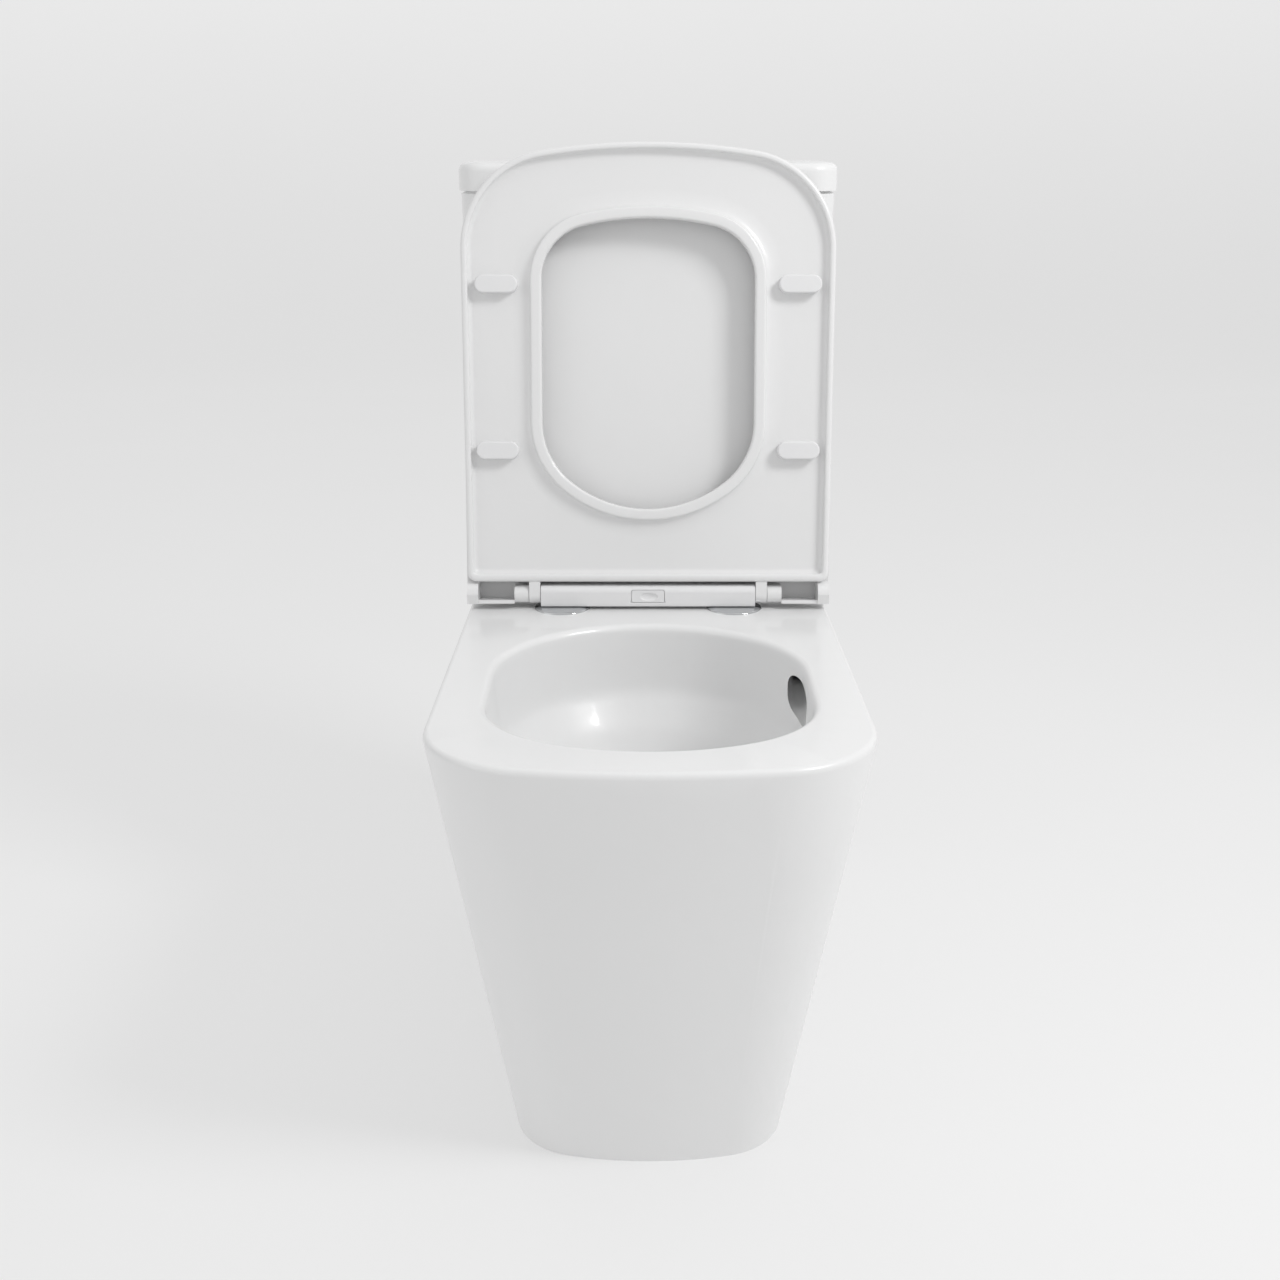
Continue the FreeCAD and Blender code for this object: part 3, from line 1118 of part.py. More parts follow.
def build_lid():
    body = new_body("lid")
    top, under = size.LidTop, size.RingTop + size.SeatGap
    rear = size.LidRear
    inside = top - size.LidSkin
    outline = sketch_on(body, "XY_Plane", "lid_outline", under)
    seat_outline(outline, sized(0), rear, EAR_OUTER)
    pad(body, outline, top - under)
    round_edges(body, 8, level(top), "lid_round")
    hollow = sketch_on(body, "XY_Plane", "lid_hollow", under - 1)
    seat_outline(hollow, -size.LidSkin, -size.RingRear, EAR_OUTER - 8)
    pocket(body, hollow, inside - under + 1, forward=True)
    # behind the ring the hollow runs out over the hinge bar
    bay = sketch_on(body, "XY_Plane", "lid_hinge_bay", under - 1)
    draw_loop(bay, [(-EAR_INNER, -size.RingRear - 1), (EAR_INNER, -size.RingRear - 1),
                    (EAR_INNER, rear - 4), (KNUCKLE_OUTER, rear - 4), (KNUCKLE_OUTER, rear + 1),
                    (-KNUCKLE_OUTER, rear + 1), (-KNUCKLE_OUTER, rear - 4), (-EAR_INNER, rear - 4)])
    pocket(body, bay, inside - under + 1, forward=True)
    ear_width = EAR_OUTER - EAR_INNER
    for side, name in ((1, "right"), (-1, "left")):
        ear = sketch_on(body, "YZ_Plane", f"lid_{name}_ear", side * (EAR_OUTER - 1))
        draw_ear(ear, size.EarRadius, rear, under + 1)
        pad(body, ear, ear_width - 1, back=side > 0)
        ledge = sketch_on(body, "YZ_Plane", f"lid_{name}_ledge", side * (EAR_INNER + 1))
        draw_loop(ledge, [(rear - 4, -8), (rear - 0.5, -8), (rear - 0.5, under + 1), (rear - 4, under + 1)])
        pad(body, ledge, EAR_INNER + 1 - KNUCKLE_OUTER, back=side > 0)
        knuckle = sketch_on(body, "YZ_Plane", f"lid_{name}_knuckle", side * KNUCKLE_OUTER)
        draw_lug(knuckle, size.KnuckleRadius, inside + 1)
        pad(body, knuckle, size.KnuckleWidth, back=side > 0)
    bore = sketch_on(body, "YZ_Plane", "lid_bores", -KNUCKLE_OUTER + 1)
    draw_circle(bore, 0, 0, size.PinRadius + size.RunningFit)
    pocket(body, bore, 2 * KNUCKLE_OUTER - 2, forward=True)
    raise_up(body)
    return keep(body, "lid")


def draw_ear(sketch, radius, rear, top):
    """A quarter round ear in front of the origin, cut off straight at the rear."""
    radius, rear, top = sized(radius), sized(rear), sized(top)
    r = radius.value
    front, bottom = Vector(-r, 0, 0), Vector(0, -r, 0)
    corners = [(rear, -(radius - 4.5)), (rear, top), (-radius, top)]
    points = [bottom] + [Vector(x.value, y.value, 0) for x, y in corners] + [front]
    curve = sketch.addGeometry(arc(Vector(0, 0, 0), r, front, bottom), False)
    lines = [sketch.addGeometry(Part.LineSegment(one, two), False)
             for one, two in zip(points, points[1:])]
    loop = [curve] + lines
    for one, two in zip(loop, loop[1:] + loop[:1]):
        sketch.addConstraint(Sketcher.Constraint("Coincident", one, 2, two, 1))
    sketch.addConstraint(Sketcher.Constraint("Coincident", curve, 3, -1, 1))
    dimension(sketch, "Radius", curve, amount=radius)
    sketch.addConstraint(Sketcher.Constraint("PointOnObject", curve, 1, -1))
    sketch.addConstraint(Sketcher.Constraint("PointOnObject", curve, 2, -2))
    for line, (x, y) in zip(lines[1:], corners):
        pin_point(sketch, line, 1, x, y)


def draw_lug(sketch, radius, top):
    """A half round lug about the origin with a straight neck up to the lid."""
    radius, top = sized(radius), sized(top)
    left, right = Vector(-radius.value, 0, 0), Vector(radius.value, 0, 0)
    eye = sketch.addGeometry(arc(Vector(0, 0, 0), radius.value, left, right), False)
    high_right, high_left = Vector(radius.value, top.value, 0), Vector(-radius.value, top.value, 0)
    one = sketch.addGeometry(Part.LineSegment(right, high_right), False)
    over = sketch.addGeometry(Part.LineSegment(high_right, high_left), False)
    two = sketch.addGeometry(Part.LineSegment(high_left, left), False)
    for first, second in ((eye, one), (one, over), (over, two), (two, eye)):
        sketch.addConstraint(Sketcher.Constraint("Coincident", first, 2, second, 1))
    sketch.addConstraint(Sketcher.Constraint("Coincident", eye, 3, -1, 1))
    sketch.addConstraint(Sketcher.Constraint("PointOnObject", eye, 1, -1))
    sketch.addConstraint(Sketcher.Constraint("PointOnObject", eye, 2, -1))
    dimension(sketch, "Radius", eye, amount=radius)
    pin_point(sketch, over, 1, radius, top)
    pin_point(sketch, over, 2, -radius, top)


def build_lid_bumpers():
    """Small pads under the lid; they meet the ring."""
    one = new_body("lid_bumper")
    foot = size.RingTop + 0.3
    for name, x, y in (("front", 70, 392), ("rear", 140, 90)):
        sketch = sketch_on(one, "XY_Plane", f"lid_bumper_{name}", foot)
        draw_circle(sketch, x, -y, 7)
        pad(one, sketch, size.LidTop - size.LidSkin - foot)
    raise_up(one)
    mirrored_pair("lid_bumpers", one)


# ---------------------------------------------------------------- floor fixings

def build_floor_fixings():
    height = size.FootFixingHeight
    y = WALL - size.FootFixing
    lean = (PAN_REAR_HALF - size.BaseHalfWidth) / (size.DeckHeight - size.DeckBand)
    inside = size.BaseHalfWidth - size.PanWall
    bracket = new_body("floor_bracket")
    section = sketch_on(bracket, "XZ_Plane", "bracket_section", 22)
    outer = inside - 0.3
    draw_loop(section, [(outer - 40, 0), (outer, 0), (outer + lean * 45, 45),
                        (outer + lean * 45 - 14, 45), (outer - 14, 8), (outer - 40, 8)])
    pad(bracket, section, 44, back=True)
    hole = sketch_on(bracket, "XY_Plane", "bracket_floor_hole", 9)
    draw_circle(hole, outer - 28, 0, size.FloorScrewHole)
    pocket(bracket, hole, 10)
    bore = sketch_on(bracket, "YZ_Plane", "bracket_screw_bore", inside + 20)
    draw_circle(bore, 0, height, 2.6)
    pocket(bracket, bore, 50)
    place(bracket, 0, y, 0)
    mirrored_pair("floor_brackets", bracket)
    outside = size.BaseHalfWidth + (size.PanHalfWidth - size.BaseHalfWidth) / size.DeckHeight * height
    # a head or cap stands off the leaning skirt by the lean over its own radius
    head_radius, head_height, cap_radius, cap_height = 6, 2.2, 9, 3.5
    head_seat = outside + lean * head_radius
    cap_seat = outside + lean * cap_radius + 0.3
    screw = new_body("side_screw")
    shaft = sketch_on(screw, "YZ_Plane", "side_screw_shaft", outside - 30)
    draw_circle(shaft, 0, height, 2.5)
    pad(screw, shaft, head_seat - outside + 31)
    head = sketch_on(screw, "YZ_Plane", "side_screw_head", head_seat)
    draw_circle(head, 0, height, head_radius)
    pad(screw, head, head_height)
    place(screw, 0, y, 0)
    mirrored_pair("side_screws", screw)
    cap = new_body("cover_cap")
    shell = sketch_on(cap, "YZ_Plane", "cover_cap_disc", cap_seat)
    draw_circle(shell, 0, height, cap_radius)
    pad(cap, shell, cap_height)
    room = sketch_on(cap, "YZ_Plane", "cover_cap_room", outside)
    draw_circle(room, 0, height, head_radius + 0.3)
    pocket(cap, room, cap_seat - outside + cap_height / 2, forward=True)
    round_edges(cap, 1.5, level_x(cap_seat + cap_height), "cover_cap_round")
    place(cap, 0, y, 0)
    mirrored_pair("cover_caps", cap)


def level_x(position):
    """A test for edges that lie in one plane across X."""
    position = sized(position).value

    def lies(edge):
        box = edge.BoundBox
        return abs(box.XMin - position) < 0.01 and abs(box.XMax - position) < 0.01
    return lies


# ---------------------------------------------------------------- build and write

build_pan()
build_tank()
build_cistern_lid()
build_cistern_fixings()
build_flush_valve()
build_flush_buttons()
build_fill_valve()
build_hinge()
build_ring()
build_ring_bumpers()
build_lid()
build_lid_bumpers()
build_floor_fixings()
doc.recompute()

faults = [item.Name for item in doc.Objects if "Invalid" in item.State or "Error" in item.State]
faults += [node.Label for node in nodes if node.Shape.isNull() or not node.Shape.isValid()]
if faults:
    raise RuntimeError(f"these objects are not sound: {faults}")

os.makedirs("parts", exist_ok=True)
for node in nodes:
    node.Shape.exportStep(f"parts/{node.Label}.step")
print(len(nodes), "sub-parts written")
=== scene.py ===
"""Close coupled toilet: finishes, fine shapes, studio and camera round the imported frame.

Sizes are in millimetres until a mesh is made; the frame itself is in metres.
"""
import json
import math

import bmesh
import bpy
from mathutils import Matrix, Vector


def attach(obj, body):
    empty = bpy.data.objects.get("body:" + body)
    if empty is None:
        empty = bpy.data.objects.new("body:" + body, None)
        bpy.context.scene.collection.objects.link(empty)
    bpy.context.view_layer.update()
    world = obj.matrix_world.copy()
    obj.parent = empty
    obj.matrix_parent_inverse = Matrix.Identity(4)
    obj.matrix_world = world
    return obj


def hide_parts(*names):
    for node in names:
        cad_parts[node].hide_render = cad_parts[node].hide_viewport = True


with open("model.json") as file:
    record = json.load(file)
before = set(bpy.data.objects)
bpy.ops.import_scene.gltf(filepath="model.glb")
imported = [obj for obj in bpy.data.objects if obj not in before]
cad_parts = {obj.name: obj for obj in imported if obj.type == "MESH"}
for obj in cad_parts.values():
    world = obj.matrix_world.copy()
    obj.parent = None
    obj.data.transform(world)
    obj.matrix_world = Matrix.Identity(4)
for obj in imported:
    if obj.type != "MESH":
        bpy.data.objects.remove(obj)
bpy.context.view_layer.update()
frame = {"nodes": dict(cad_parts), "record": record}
NODES = frame["nodes"]
MILLIMETRE = 0.001


# ---------------------------------------------------------------- shader maths

class Link:
    """One output socket of a finish, with the arithmetic that the finishes need."""

    def __init__(self, finish, socket):
        self.finish, self.socket = finish, socket

    def _math(self, operation, first, second):
        return self.finish.node("ShaderNodeMath", {"operation": operation}, {0: first, 1: second})

    def __add__(self, other):
        return self._math("ADD", self, other)

    __radd__ = __add__

    def __mul__(self, other):
        return self._math("MULTIPLY", self, other)

    __rmul__ = __mul__

    def __sub__(self, other):
        return self._math("SUBTRACT", self, other)

    def __rsub__(self, other):
        return self._math("SUBTRACT", other, self)


class Finish:
    """A node material under construction: one Principled shader and what feeds it."""

    def __init__(self, name, **constants):
        self.material = bpy.data.materials.new(name)
        self.material.use_nodes = True
        self.tree = self.material.node_tree
        self.tree.nodes.clear()
        self.shader = self.tree.nodes.new("ShaderNodeBsdfPrincipled")
        self.output = self.tree.nodes.new("ShaderNodeOutputMaterial")
        self.tree.links.new(self.shader.outputs["BSDF"], self.output.inputs["Surface"])
        for socket, value in constants.items():
            self.shader.inputs[socket.replace("_", " ")].default_value = value
        self.place = self.node("ShaderNodeTexCoord", {}, {}, "Object")

    def node(self, kind, settings, inputs, output=0):
        """Any node: its settings first, then the values or links of its sockets."""
        made = self.tree.nodes.new(kind)
        for name, value in settings.items():
            if name == "stops":
                self._set_stops(made.color_ramp, value)
            else:
                setattr(made, name, value)
        for name, value in inputs.items():
            self.feed(made.inputs[name], value)
        return Link(self, made.outputs[output])

    @staticmethod
    def _set_stops(ramp, stops):
        for element, (position, shade) in zip(ramp.elements, stops):
            element.position = position
            element.color = (shade, shade, shade, 1.0)

    def feed(self, socket, value):
        if isinstance(value, Link):
            self.tree.links.new(value.socket, socket)
        else:
            socket.default_value = value

    def noise(self, scale, detail=2.0, roughness=0.5, vector=None):
        return self.node("ShaderNodeTexNoise", {}, {
            "Vector": vector or self.place, "Scale": scale,
            "Detail": detail, "Roughness": roughness}, "Fac")

    def cells(self, scale):
        return self.node("ShaderNodeTexVoronoi", {"feature": "F1"},
                         {"Vector": self.place, "Scale": scale}, "Distance")

    def stretched(self, scale):
        return self.node("ShaderNodeVectorMath", {"operation": "MULTIPLY"},
                         {0: self.place, 1: scale}, "Vector")

    def specks(self, scale, radius):
        """Round spots, 1 at their middles and 0 from that radius out."""
        return self.node("ShaderNodeValToRGB", {"stops": [(0.0, 1.0), (radius, 0.0)]},
                         {"Fac": self.cells(scale)}, "Color")

    def axis(self, name):
        return self.node("ShaderNodeSeparateXYZ", {}, {"Vector": self.place}, name)

    def step(self, value, low, high):
        """0 below low, 1 above high, smooth in between."""
        return self.node("ShaderNodeMapRange",
                         {"interpolation_type": "SMOOTHSTEP", "clamp": True},
                         {"Value": value, "From Min": low, "From Max": high,
                          "To Min": 0.0, "To Max": 1.0}, "Result")

    def mix_colour(self, share, first, second):
        return self.node("ShaderNodeMix", {"data_type": "RGBA"},
                         {0: share, 6: first, 7: second}, 2)

    def colour(self, value):
        self.feed(self.shader.inputs["Base Color"], value)

    def roughness(self, value):
        self.feed(self.shader.inputs["Roughness"], value)

    def coat(self, value):
        self.feed(self.shader.inputs["Coat Weight"], value)

    def relief(self, *layers):
        """Each layer is (height link, depth in metres); they stack as bumps."""
        normal = None
        for height, depth in layers:
            inputs = {"Strength": 1.0, "Distance": depth, "Height": height}
            if normal is not None:
                inputs["Normal"] = normal
            normal = self.node("ShaderNodeBump", {}, inputs, "Normal")
        self.feed(self.shader.inputs["Normal"], normal)


def grey(shade, blue_shift=0.0):
    return (shade, shade, shade + blue_shift, 1.0)


def tint(red, green, blue):
    return (red, green, blue, 1.0)


# ---------------------------------------------------------------- finishes

def china():
    """Vitreous china under a clear glaze, with its slow cloud, orange peel and pinholes."""
    made = Finish("glazed_china", IOR=1.5, Coat_Roughness=0.07, Coat_IOR=1.5,
                  Specular_IOR_Level=0.5)
    cloud = made.noise(3.5, 3.0, 0.55)
    ripple = made.noise(38.0, 1.0, 0.4)
    orange_peel = made.noise(190.0, 2.0, 0.5)
    pinholes = made.specks(46.0, 0.022)
    body = made.mix_colour(cloud, tint(0.805, 0.806, 0.806), tint(0.830, 0.831, 0.832))
    body = made.mix_colour(pinholes * 0.35, body, tint(0.70, 0.69, 0.67))
    made.colour(body)
    made.roughness(0.30 + cloud * 0.08)
    made.coat(0.32 + cloud * 0.15)
    made.relief((ripple, 0.00035), (orange_peel, 0.00004), (1 - pinholes, 0.00006))
    return made.material


def seat():
    """Pressed white thermoset: hard gloss with a faint flow pattern."""
    made = Finish("seat_gloss_white", IOR=1.5, Coat_Roughness=0.08, Coat_IOR=1.46)
    flow = made.noise(9.0, 4.0, 0.6, made.stretched((1.0, 0.45, 0.45)))
    ripple = made.noise(55.0, 1.0, 0.4)
    grain = made.noise(700.0, 2.0, 0.6)
    made.colour(made.mix_colour(flow, grey(0.785), grey(0.815, 0.002)))
    made.roughness(0.30 + flow * 0.10)
    made.coat(0.35 + flow * 0.25)
    made.relief((ripple, 0.00016), (grain, 0.000012))
    return made.material


def moulded(name, dark, light, roughness, grain_depth, coat=0.0):
    """Injection moulded plastic with a fine spark-eroded texture."""
    made = Finish(name, IOR=1.49, Coat_Roughness=0.15)
    drift = made.noise(26.0, 3.0, 0.55)
    grain = made.noise(900.0, 3.0, 0.65)
    made.colour(made.mix_colour(drift, dark, light))
    made.roughness(roughness + drift * 0.12)
    made.coat(coat + drift * 0.1)
    made.relief((drift, 0.00008), (grain, grain_depth))
    return made.material


def chrome():
    """Plated brass: mirror bright, with hairlines and a little water bloom."""
    made = Finish("polished_chrome", IOR=2.6, Metallic=1.0)
    bloom = made.noise(60.0, 4.0, 0.6)
    hairlines = made.noise(420.0, 2.0, 0.5, made.stretched((1.0, 0.08, 1.0)))
    made.colour(made.mix_colour(bloom, tint(0.60, 0.61, 0.62), tint(0.68, 0.69, 0.70)))
    made.roughness(0.035 + bloom * 0.07 + hairlines * 0.03)
    made.relief((bloom, 0.00002), (hairlines, 0.000004))
    return made.material


def zinc():
    """Zinc plated steel with spangle and a drawn grain."""
    made = Finish("zinc_plated_steel", Metallic=1.0)
    spangle = made.cells(420.0)
    drawn = made.noise(300.0, 3.0, 0.6, made.stretched((1.0, 1.0, 0.05)))
    made.colour(made.mix_colour(spangle, tint(0.50, 0.51, 0.53), tint(0.68, 0.69, 0.70)))
    made.roughness(0.28 + drawn * 0.22)
    made.relief((drawn, 0.00003))
    return made.material


def rubber(name, dark, light, pore_scale, pore_depth):
    """Moulded or cellular rubber with open pores."""
    made = Finish(name, IOR=1.45, Specular_IOR_Level=0.35)
    bloom = made.noise(30.0, 4.0, 0.6)
    pores = made.specks(pore_scale, 0.3)
    made.colour(made.mix_colour(bloom, dark, light))
    made.roughness(0.62 + bloom * 0.2)
    made.relief((1 - pores, pore_depth), (bloom, 0.0001))
    return made.material


FINISHES = {
    "vitreous_china": china(),
    "seat_plastic": seat(),
    "hinge_plastic": moulded("hinge_gloss_white", grey(0.78, 0.005), grey(0.82, 0.005),
                             0.24, 0.000008, 0.35),
    "bright_chrome": chrome(),
    "zinc_steel": zinc(),
    "nut_plastic": moulded("nut_nylon", tint(0.70, 0.69, 0.64), tint(0.78, 0.77, 0.73),
                           0.42, 0.00002),
    "valve_plastic": moulded("valve_white", tint(0.74, 0.75, 0.76), tint(0.80, 0.81, 0.82),
                             0.38, 0.00002),
    "valve_blue": moulded("valve_blue", tint(0.10, 0.24, 0.46), tint(0.14, 0.30, 0.54),
                          0.36, 0.00002),
    "black_rubber": rubber("black_rubber", grey(0.020, 0.001), grey(0.045, 0.001),
                           900.0, 0.00003),
    "pad_rubber": rubber("white_pad_rubber", grey(0.76, 0.005), grey(0.81, 0.005),
                         1200.0, 0.00001),
    "foam_rubber": rubber("foam_rubber", grey(0.045, 0.002), grey(0.085, 0.003),
                          420.0, 0.0002),
}


def dress(piece, slot):
    piece.data.materials.clear()
    piece.data.materials.append(FINISHES[slot])


for part in frame["record"]["subparts"]:
    dress(NODES[part["node"]], part["material_slot"])


# ---------------------------------------------------------------- outlines

def arc_points(centre, radius, start, end, count):
    """Points along an arc, angles in radians."""
    return [(centre[0] + radius * math.cos(start + (end - start) * i / count),
             centre[1] + radius * math.sin(start + (end - start) * i / count))
            for i in range(count + 1)]


def quarter(centre, radius, start, end, count=6):
    """Points along an arc, angles in degrees."""
    return arc_points(centre, radius, math.radians(start), math.radians(end), count)


def nose(half, tip, depth, corner, sign):
    """Half an end of an outline, from its tip on the middle line to where its side runs
    straight. sign is -1 for an end towards -Y and 1 for one towards +Y."""
    radius = ((half - corner) ** 2 + depth ** 2 - corner ** 2) / (2 * (depth - corner))
    sweep = math.asin((half - corner) / (radius - corner))
    bow = arc_points((0.0, radius), radius, -math.pi / 2, -math.pi / 2 + sweep, 40)
    turn = arc_points((half - corner, depth), corner, -math.pi / 2 + sweep, 0.0, 40)
    return [(x, tip - sign * y) for x, y in bow + turn[1:]]


def mirrored_loop(side):
    """A closed outline from its right side, which starts and ends on the middle line."""
    return side + [(-x, y) for x, y in reversed(side[1:-1])]


def even_loop(outline, count, blend):
    """count points evenly round an outline, its curvature blended over blend millimetres."""
    points = [Vector(p) for p in outline]
    lengths = [(b - a).length for a, b in zip(points, points[1:] + points[:1])]
    total = sum(lengths)
    even, at, walked = [], 0, 0.0
    for i in range(count):
        goal = total * i / count
        while walked + lengths[at] < goal:
            walked += lengths[at]
            at += 1
        share = (goal - walked) / lengths[at] if lengths[at] else 0.0
        even.append(points[at].lerp(points[(at + 1) % len(points)], share))
    for _ in range(round(2 * (blend * count / total) ** 2)):
        even = [(even[i - 1] + even[i] * 2 + even[(i + 1) % count]) / 4 for i in range(count)]
    return [(p.x, p.y) for p in even]


def polar_loop(outline, centre, angles):
    """The outline's points at the given angles about a centre that sees all of it."""
    around = sorted((math.atan2(y - centre[1], x - centre[0]),
                     math.hypot(x - centre[0], y - centre[1])) for x, y in outline)
    around = ([(around[-1][0] - 2 * math.pi, around[-1][1])] + around
              + [(around[0][0] + 2 * math.pi, around[0][1])])
    made, at = [], 0
    for angle in angles:
        while around[at + 1][0] < angle:
            at += 1
        (a, near), (b, far) = around[at], around[at + 1]
        # the chord between two points of the outline, seen from the centre
        radius = near
        if b - a > 1e-9:
            radius = near * far * math.sin(b - a) / (
                near * math.sin(angle - a) + far * math.sin(b - angle))
        made.append((centre[0] + radius * math.cos(angle),
                     centre[1] + radius * math.sin(angle)))
    return made


# ---------------------------------------------------------------- meshes

def skin(loops, closed=False):
    """A mesh through a stack of loops of (x, y, z) with as many points each: either its
    two ends are capped, or the last loop joins the first."""
    count = len(loops[0])
    vertices = [Vector(p) * MILLIMETRE for loop in loops for p in loop]
    faces = []
    for row in range(len(loops) if closed else len(loops) - 1):
        low, high = row * count, (row + 1) % len(loops) * count
        for i in range(count):
            j = (i + 1) % count
            faces.append((low + i, low + j, high + j, high + i))
    if not closed:
        faces.append(tuple(range(count))[::-1])
        faces.append(tuple(range((len(loops) - 1) * count, len(loops) * count)))
    return vertices, faces


def tube(points, radii, count=48, squareness=1.0):
    """A tube through points; radii are (across, up) at each point."""
    def bulge(value):
        return math.copysign(abs(value) ** squareness, value)
    loops = []
    for index, (point, (across, up)) in enumerate(zip(points, radii)):
        before, after = points[max(0, index - 1)], points[min(len(points) - 1, index + 1)]
        along = (Vector(after) - Vector(before)).normalized()
        sideways = along.cross(Vector((0, 0, 1))).normalized()
        upward = sideways.cross(along)
        loops.append([tuple(Vector(point) + sideways * (across * bulge(math.cos(turn)))
                            + upward * (up * bulge(math.sin(turn))))
                      for turn in (2 * math.pi * i / count for i in range(count))])
    return skin(loops)


def lathe(profile, centre, count=96, closed=False):
    """A turned part about an upright axis, from (radius, height) pairs."""
    turns = [2 * math.pi * i / count for i in range(count)]
    return skin([[(centre[0] + radius * math.cos(turn), centre[1] + radius * math.sin(turn),
                   height) for turn in turns] for radius, height in profile], closed)


def box_part(low, high):
    (x0, y0, z0), (x1, y1, z1) = low, high
    return skin([[(x0, y0, z), (x1, y0, z), (x1, y1, z), (x0, y1, z)] for z in (z0, z1)])


def show(name, mesh):
    piece = bpy.data.objects.new(name, mesh)
    bpy.context.scene.collection.objects.link(piece)
    return piece


def solid(name, *parts):
    """One object from several (vertices, faces) parts, with its faces turned outward."""
    vertices, faces = [], []
    for part_vertices, part_faces in parts:
        start = len(vertices)
        vertices += part_vertices
        faces += [tuple(start + i for i in face) for face in part_faces]
    mesh = bpy.data.meshes.new(name)
    mesh.from_pydata(vertices, [], faces)
    shaped = bmesh.new()
    shaped.from_mesh(mesh)
    bmesh.ops.recalc_face_normals(shaped, faces=shaped.faces)
    shaped.to_mesh(mesh)
    shaped.free()
    return show(name, mesh)


def welded_copy(name, node):
    """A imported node's mesh as a new closed piece, with its split corners joined again."""
    mesh = NODES[node].data.copy()
    mesh.name = name
    shaped = bmesh.new()
    shaped.from_mesh(mesh)
    bmesh.ops.remove_doubles(shaped, verts=shaped.verts, dist=2e-6)
    bmesh.ops.dissolve_degenerate(shaped, edges=shaped.edges, dist=1e-7)
    shaped.to_mesh(mesh)
    shaped.free()
    return show(name, mesh)


def carve(piece, operation, tool):
    """Joins or cuts one closed piece with another, and throws the tool away."""
    change = piece.modifiers.new(operation, "BOOLEAN")
    change.operation, change.object, change.solver = operation, tool, "EXACT"
    bpy.context.view_layer.update()
    whole = piece.evaluated_get(bpy.context.evaluated_depsgraph_get())
    mesh = bpy.data.meshes.new_from_object(whole)
    piece.modifiers.clear()
    # slivers lost where two surfaces all but touch
    shaped = bmesh.new()
    shaped.from_mesh(mesh)
    bmesh.ops.holes_fill(shaped, edges=[edge for edge in shaped.edges if edge.is_boundary],
                         sides=4)
    shaped.to_mesh(mesh)
    shaped.free()
    piece.data = mesh
    bpy.data.objects.remove(tool)


def finish_piece(piece, slot, body, node):
    """Smooth shading with sharp corners kept, a finish, a body, and the node it replaces."""
    mesh = piece.data
    for spare in ("custom_normal", "sharp_face"):
        if spare in mesh.attributes:
            mesh.attributes.remove(mesh.attributes[spare])
    mesh.polygons.foreach_set("use_smooth", [True] * len(mesh.polygons))
    mesh.set_sharp_from_angle(angle=math.radians(32.0))
    dress(piece, slot)
    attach(piece, body)
    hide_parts(node)


# ---------------------------------------------------------------- pan

DECK = 400.0
SUMP_FLOOR = 118.0
SUMP_MIDDLE = -98.0
RIM_ROUND = 7.0
BLEND = 7.0
ROUND_LOOP = 256
# height, half width, front, back, front corner, back corner of the glazed bowl
BOWL = [
    (DECK, 136.0, -285.0, 37.0, 100.0, 118.0),
    (385.0, 135.3, -284.0, 36.6, 99.5, 117.4),
    (350.0, 132.0, -277.5, 34.6, 96.0, 114.0),
    (334.0, 129.2, -272.5, 32.0, 93.0, 111.0),
    (322.0, 122.5, -264.5, 25.5, 86.0, 104.0),
    (300.0, 108.5, -250.0, 12.5, 74.0, 91.0),
    (262.0, 91.0, -229.0, -4.0, 60.0, 76.0),
    (225.0, 79.0, -210.0, -16.0, 49.0, 62.0),
    (170.0, 62.0, -180.0, -31.0, 36.0, 44.0),
    (116.0, 48.0, -153.0, -43.0, 28.0, 30.0),
]
# the flush duct's mouth, which runs out along the wall as a fading flute: place, then
# half width and half height
FLUTE = [
    ((141.5, 4.0, 366.0), (6.5, 6.5)),
    ((141.0, -14.0, 367.0), (6.6, 7.0)),
    ((140.2, -22.0, 367.5), (7.8, 9.5)),
    ((139.2, -30.0, 367.5), (9.2, 13.5)),
    ((138.0, -39.0, 367.0), (10.2, 16.2)),
    ((136.8, -50.0, 366.5), (10.6, 17.0)),
    ((136.0, -70.0, 367.5), (10.0, 17.5)),
    ((135.0, -92.0, 369.5), (9.0, 17.0)),
    ((133.0, -115.0, 371.5), (7.5, 15.5)),
    ((130.0, -138.0, 373.5), (5.0, 12.5)),
    ((126.0, -160.0, 375.5), (2.5, 8.0)),
]
TRAP_PATH = [(0.0, -122.0, 152.0), (0.0, -90.0, 152.0), (0.0, -58.0, 152.0), (0.0, -34.0, 156.0)]
TRAP_RADIUS = 35.9


def bowl_row(height):
    """The bowl's sizes at a height between the rows of its table, by a smooth curve."""
    last = len(BOWL) - 1
    at = next((k for k in range(1, last) if BOWL[k][0] <= height), last)
    before, low, high, after = (BOWL[max(0, min(last, at + step))] for step in (-2, -1, 0, 1))
    t = (height - low[0]) / (high[0] - low[0])
    values = []
    for k in range(1, len(low)):
        rise_low = (high[k] - before[k]) / (high[0] - before[0]) * (high[0] - low[0])
        rise_high = (after[k] - low[k]) / (after[0] - low[0]) * (high[0] - low[0])
        values.append((2 * t ** 3 - 3 * t ** 2 + 1) * low[k] + (t ** 3 - 2 * t ** 2 + t) * rise_low
                      + (3 * t ** 2 - 2 * t ** 3) * high[k] + (t ** 3 - t ** 2) * rise_high)
    return values


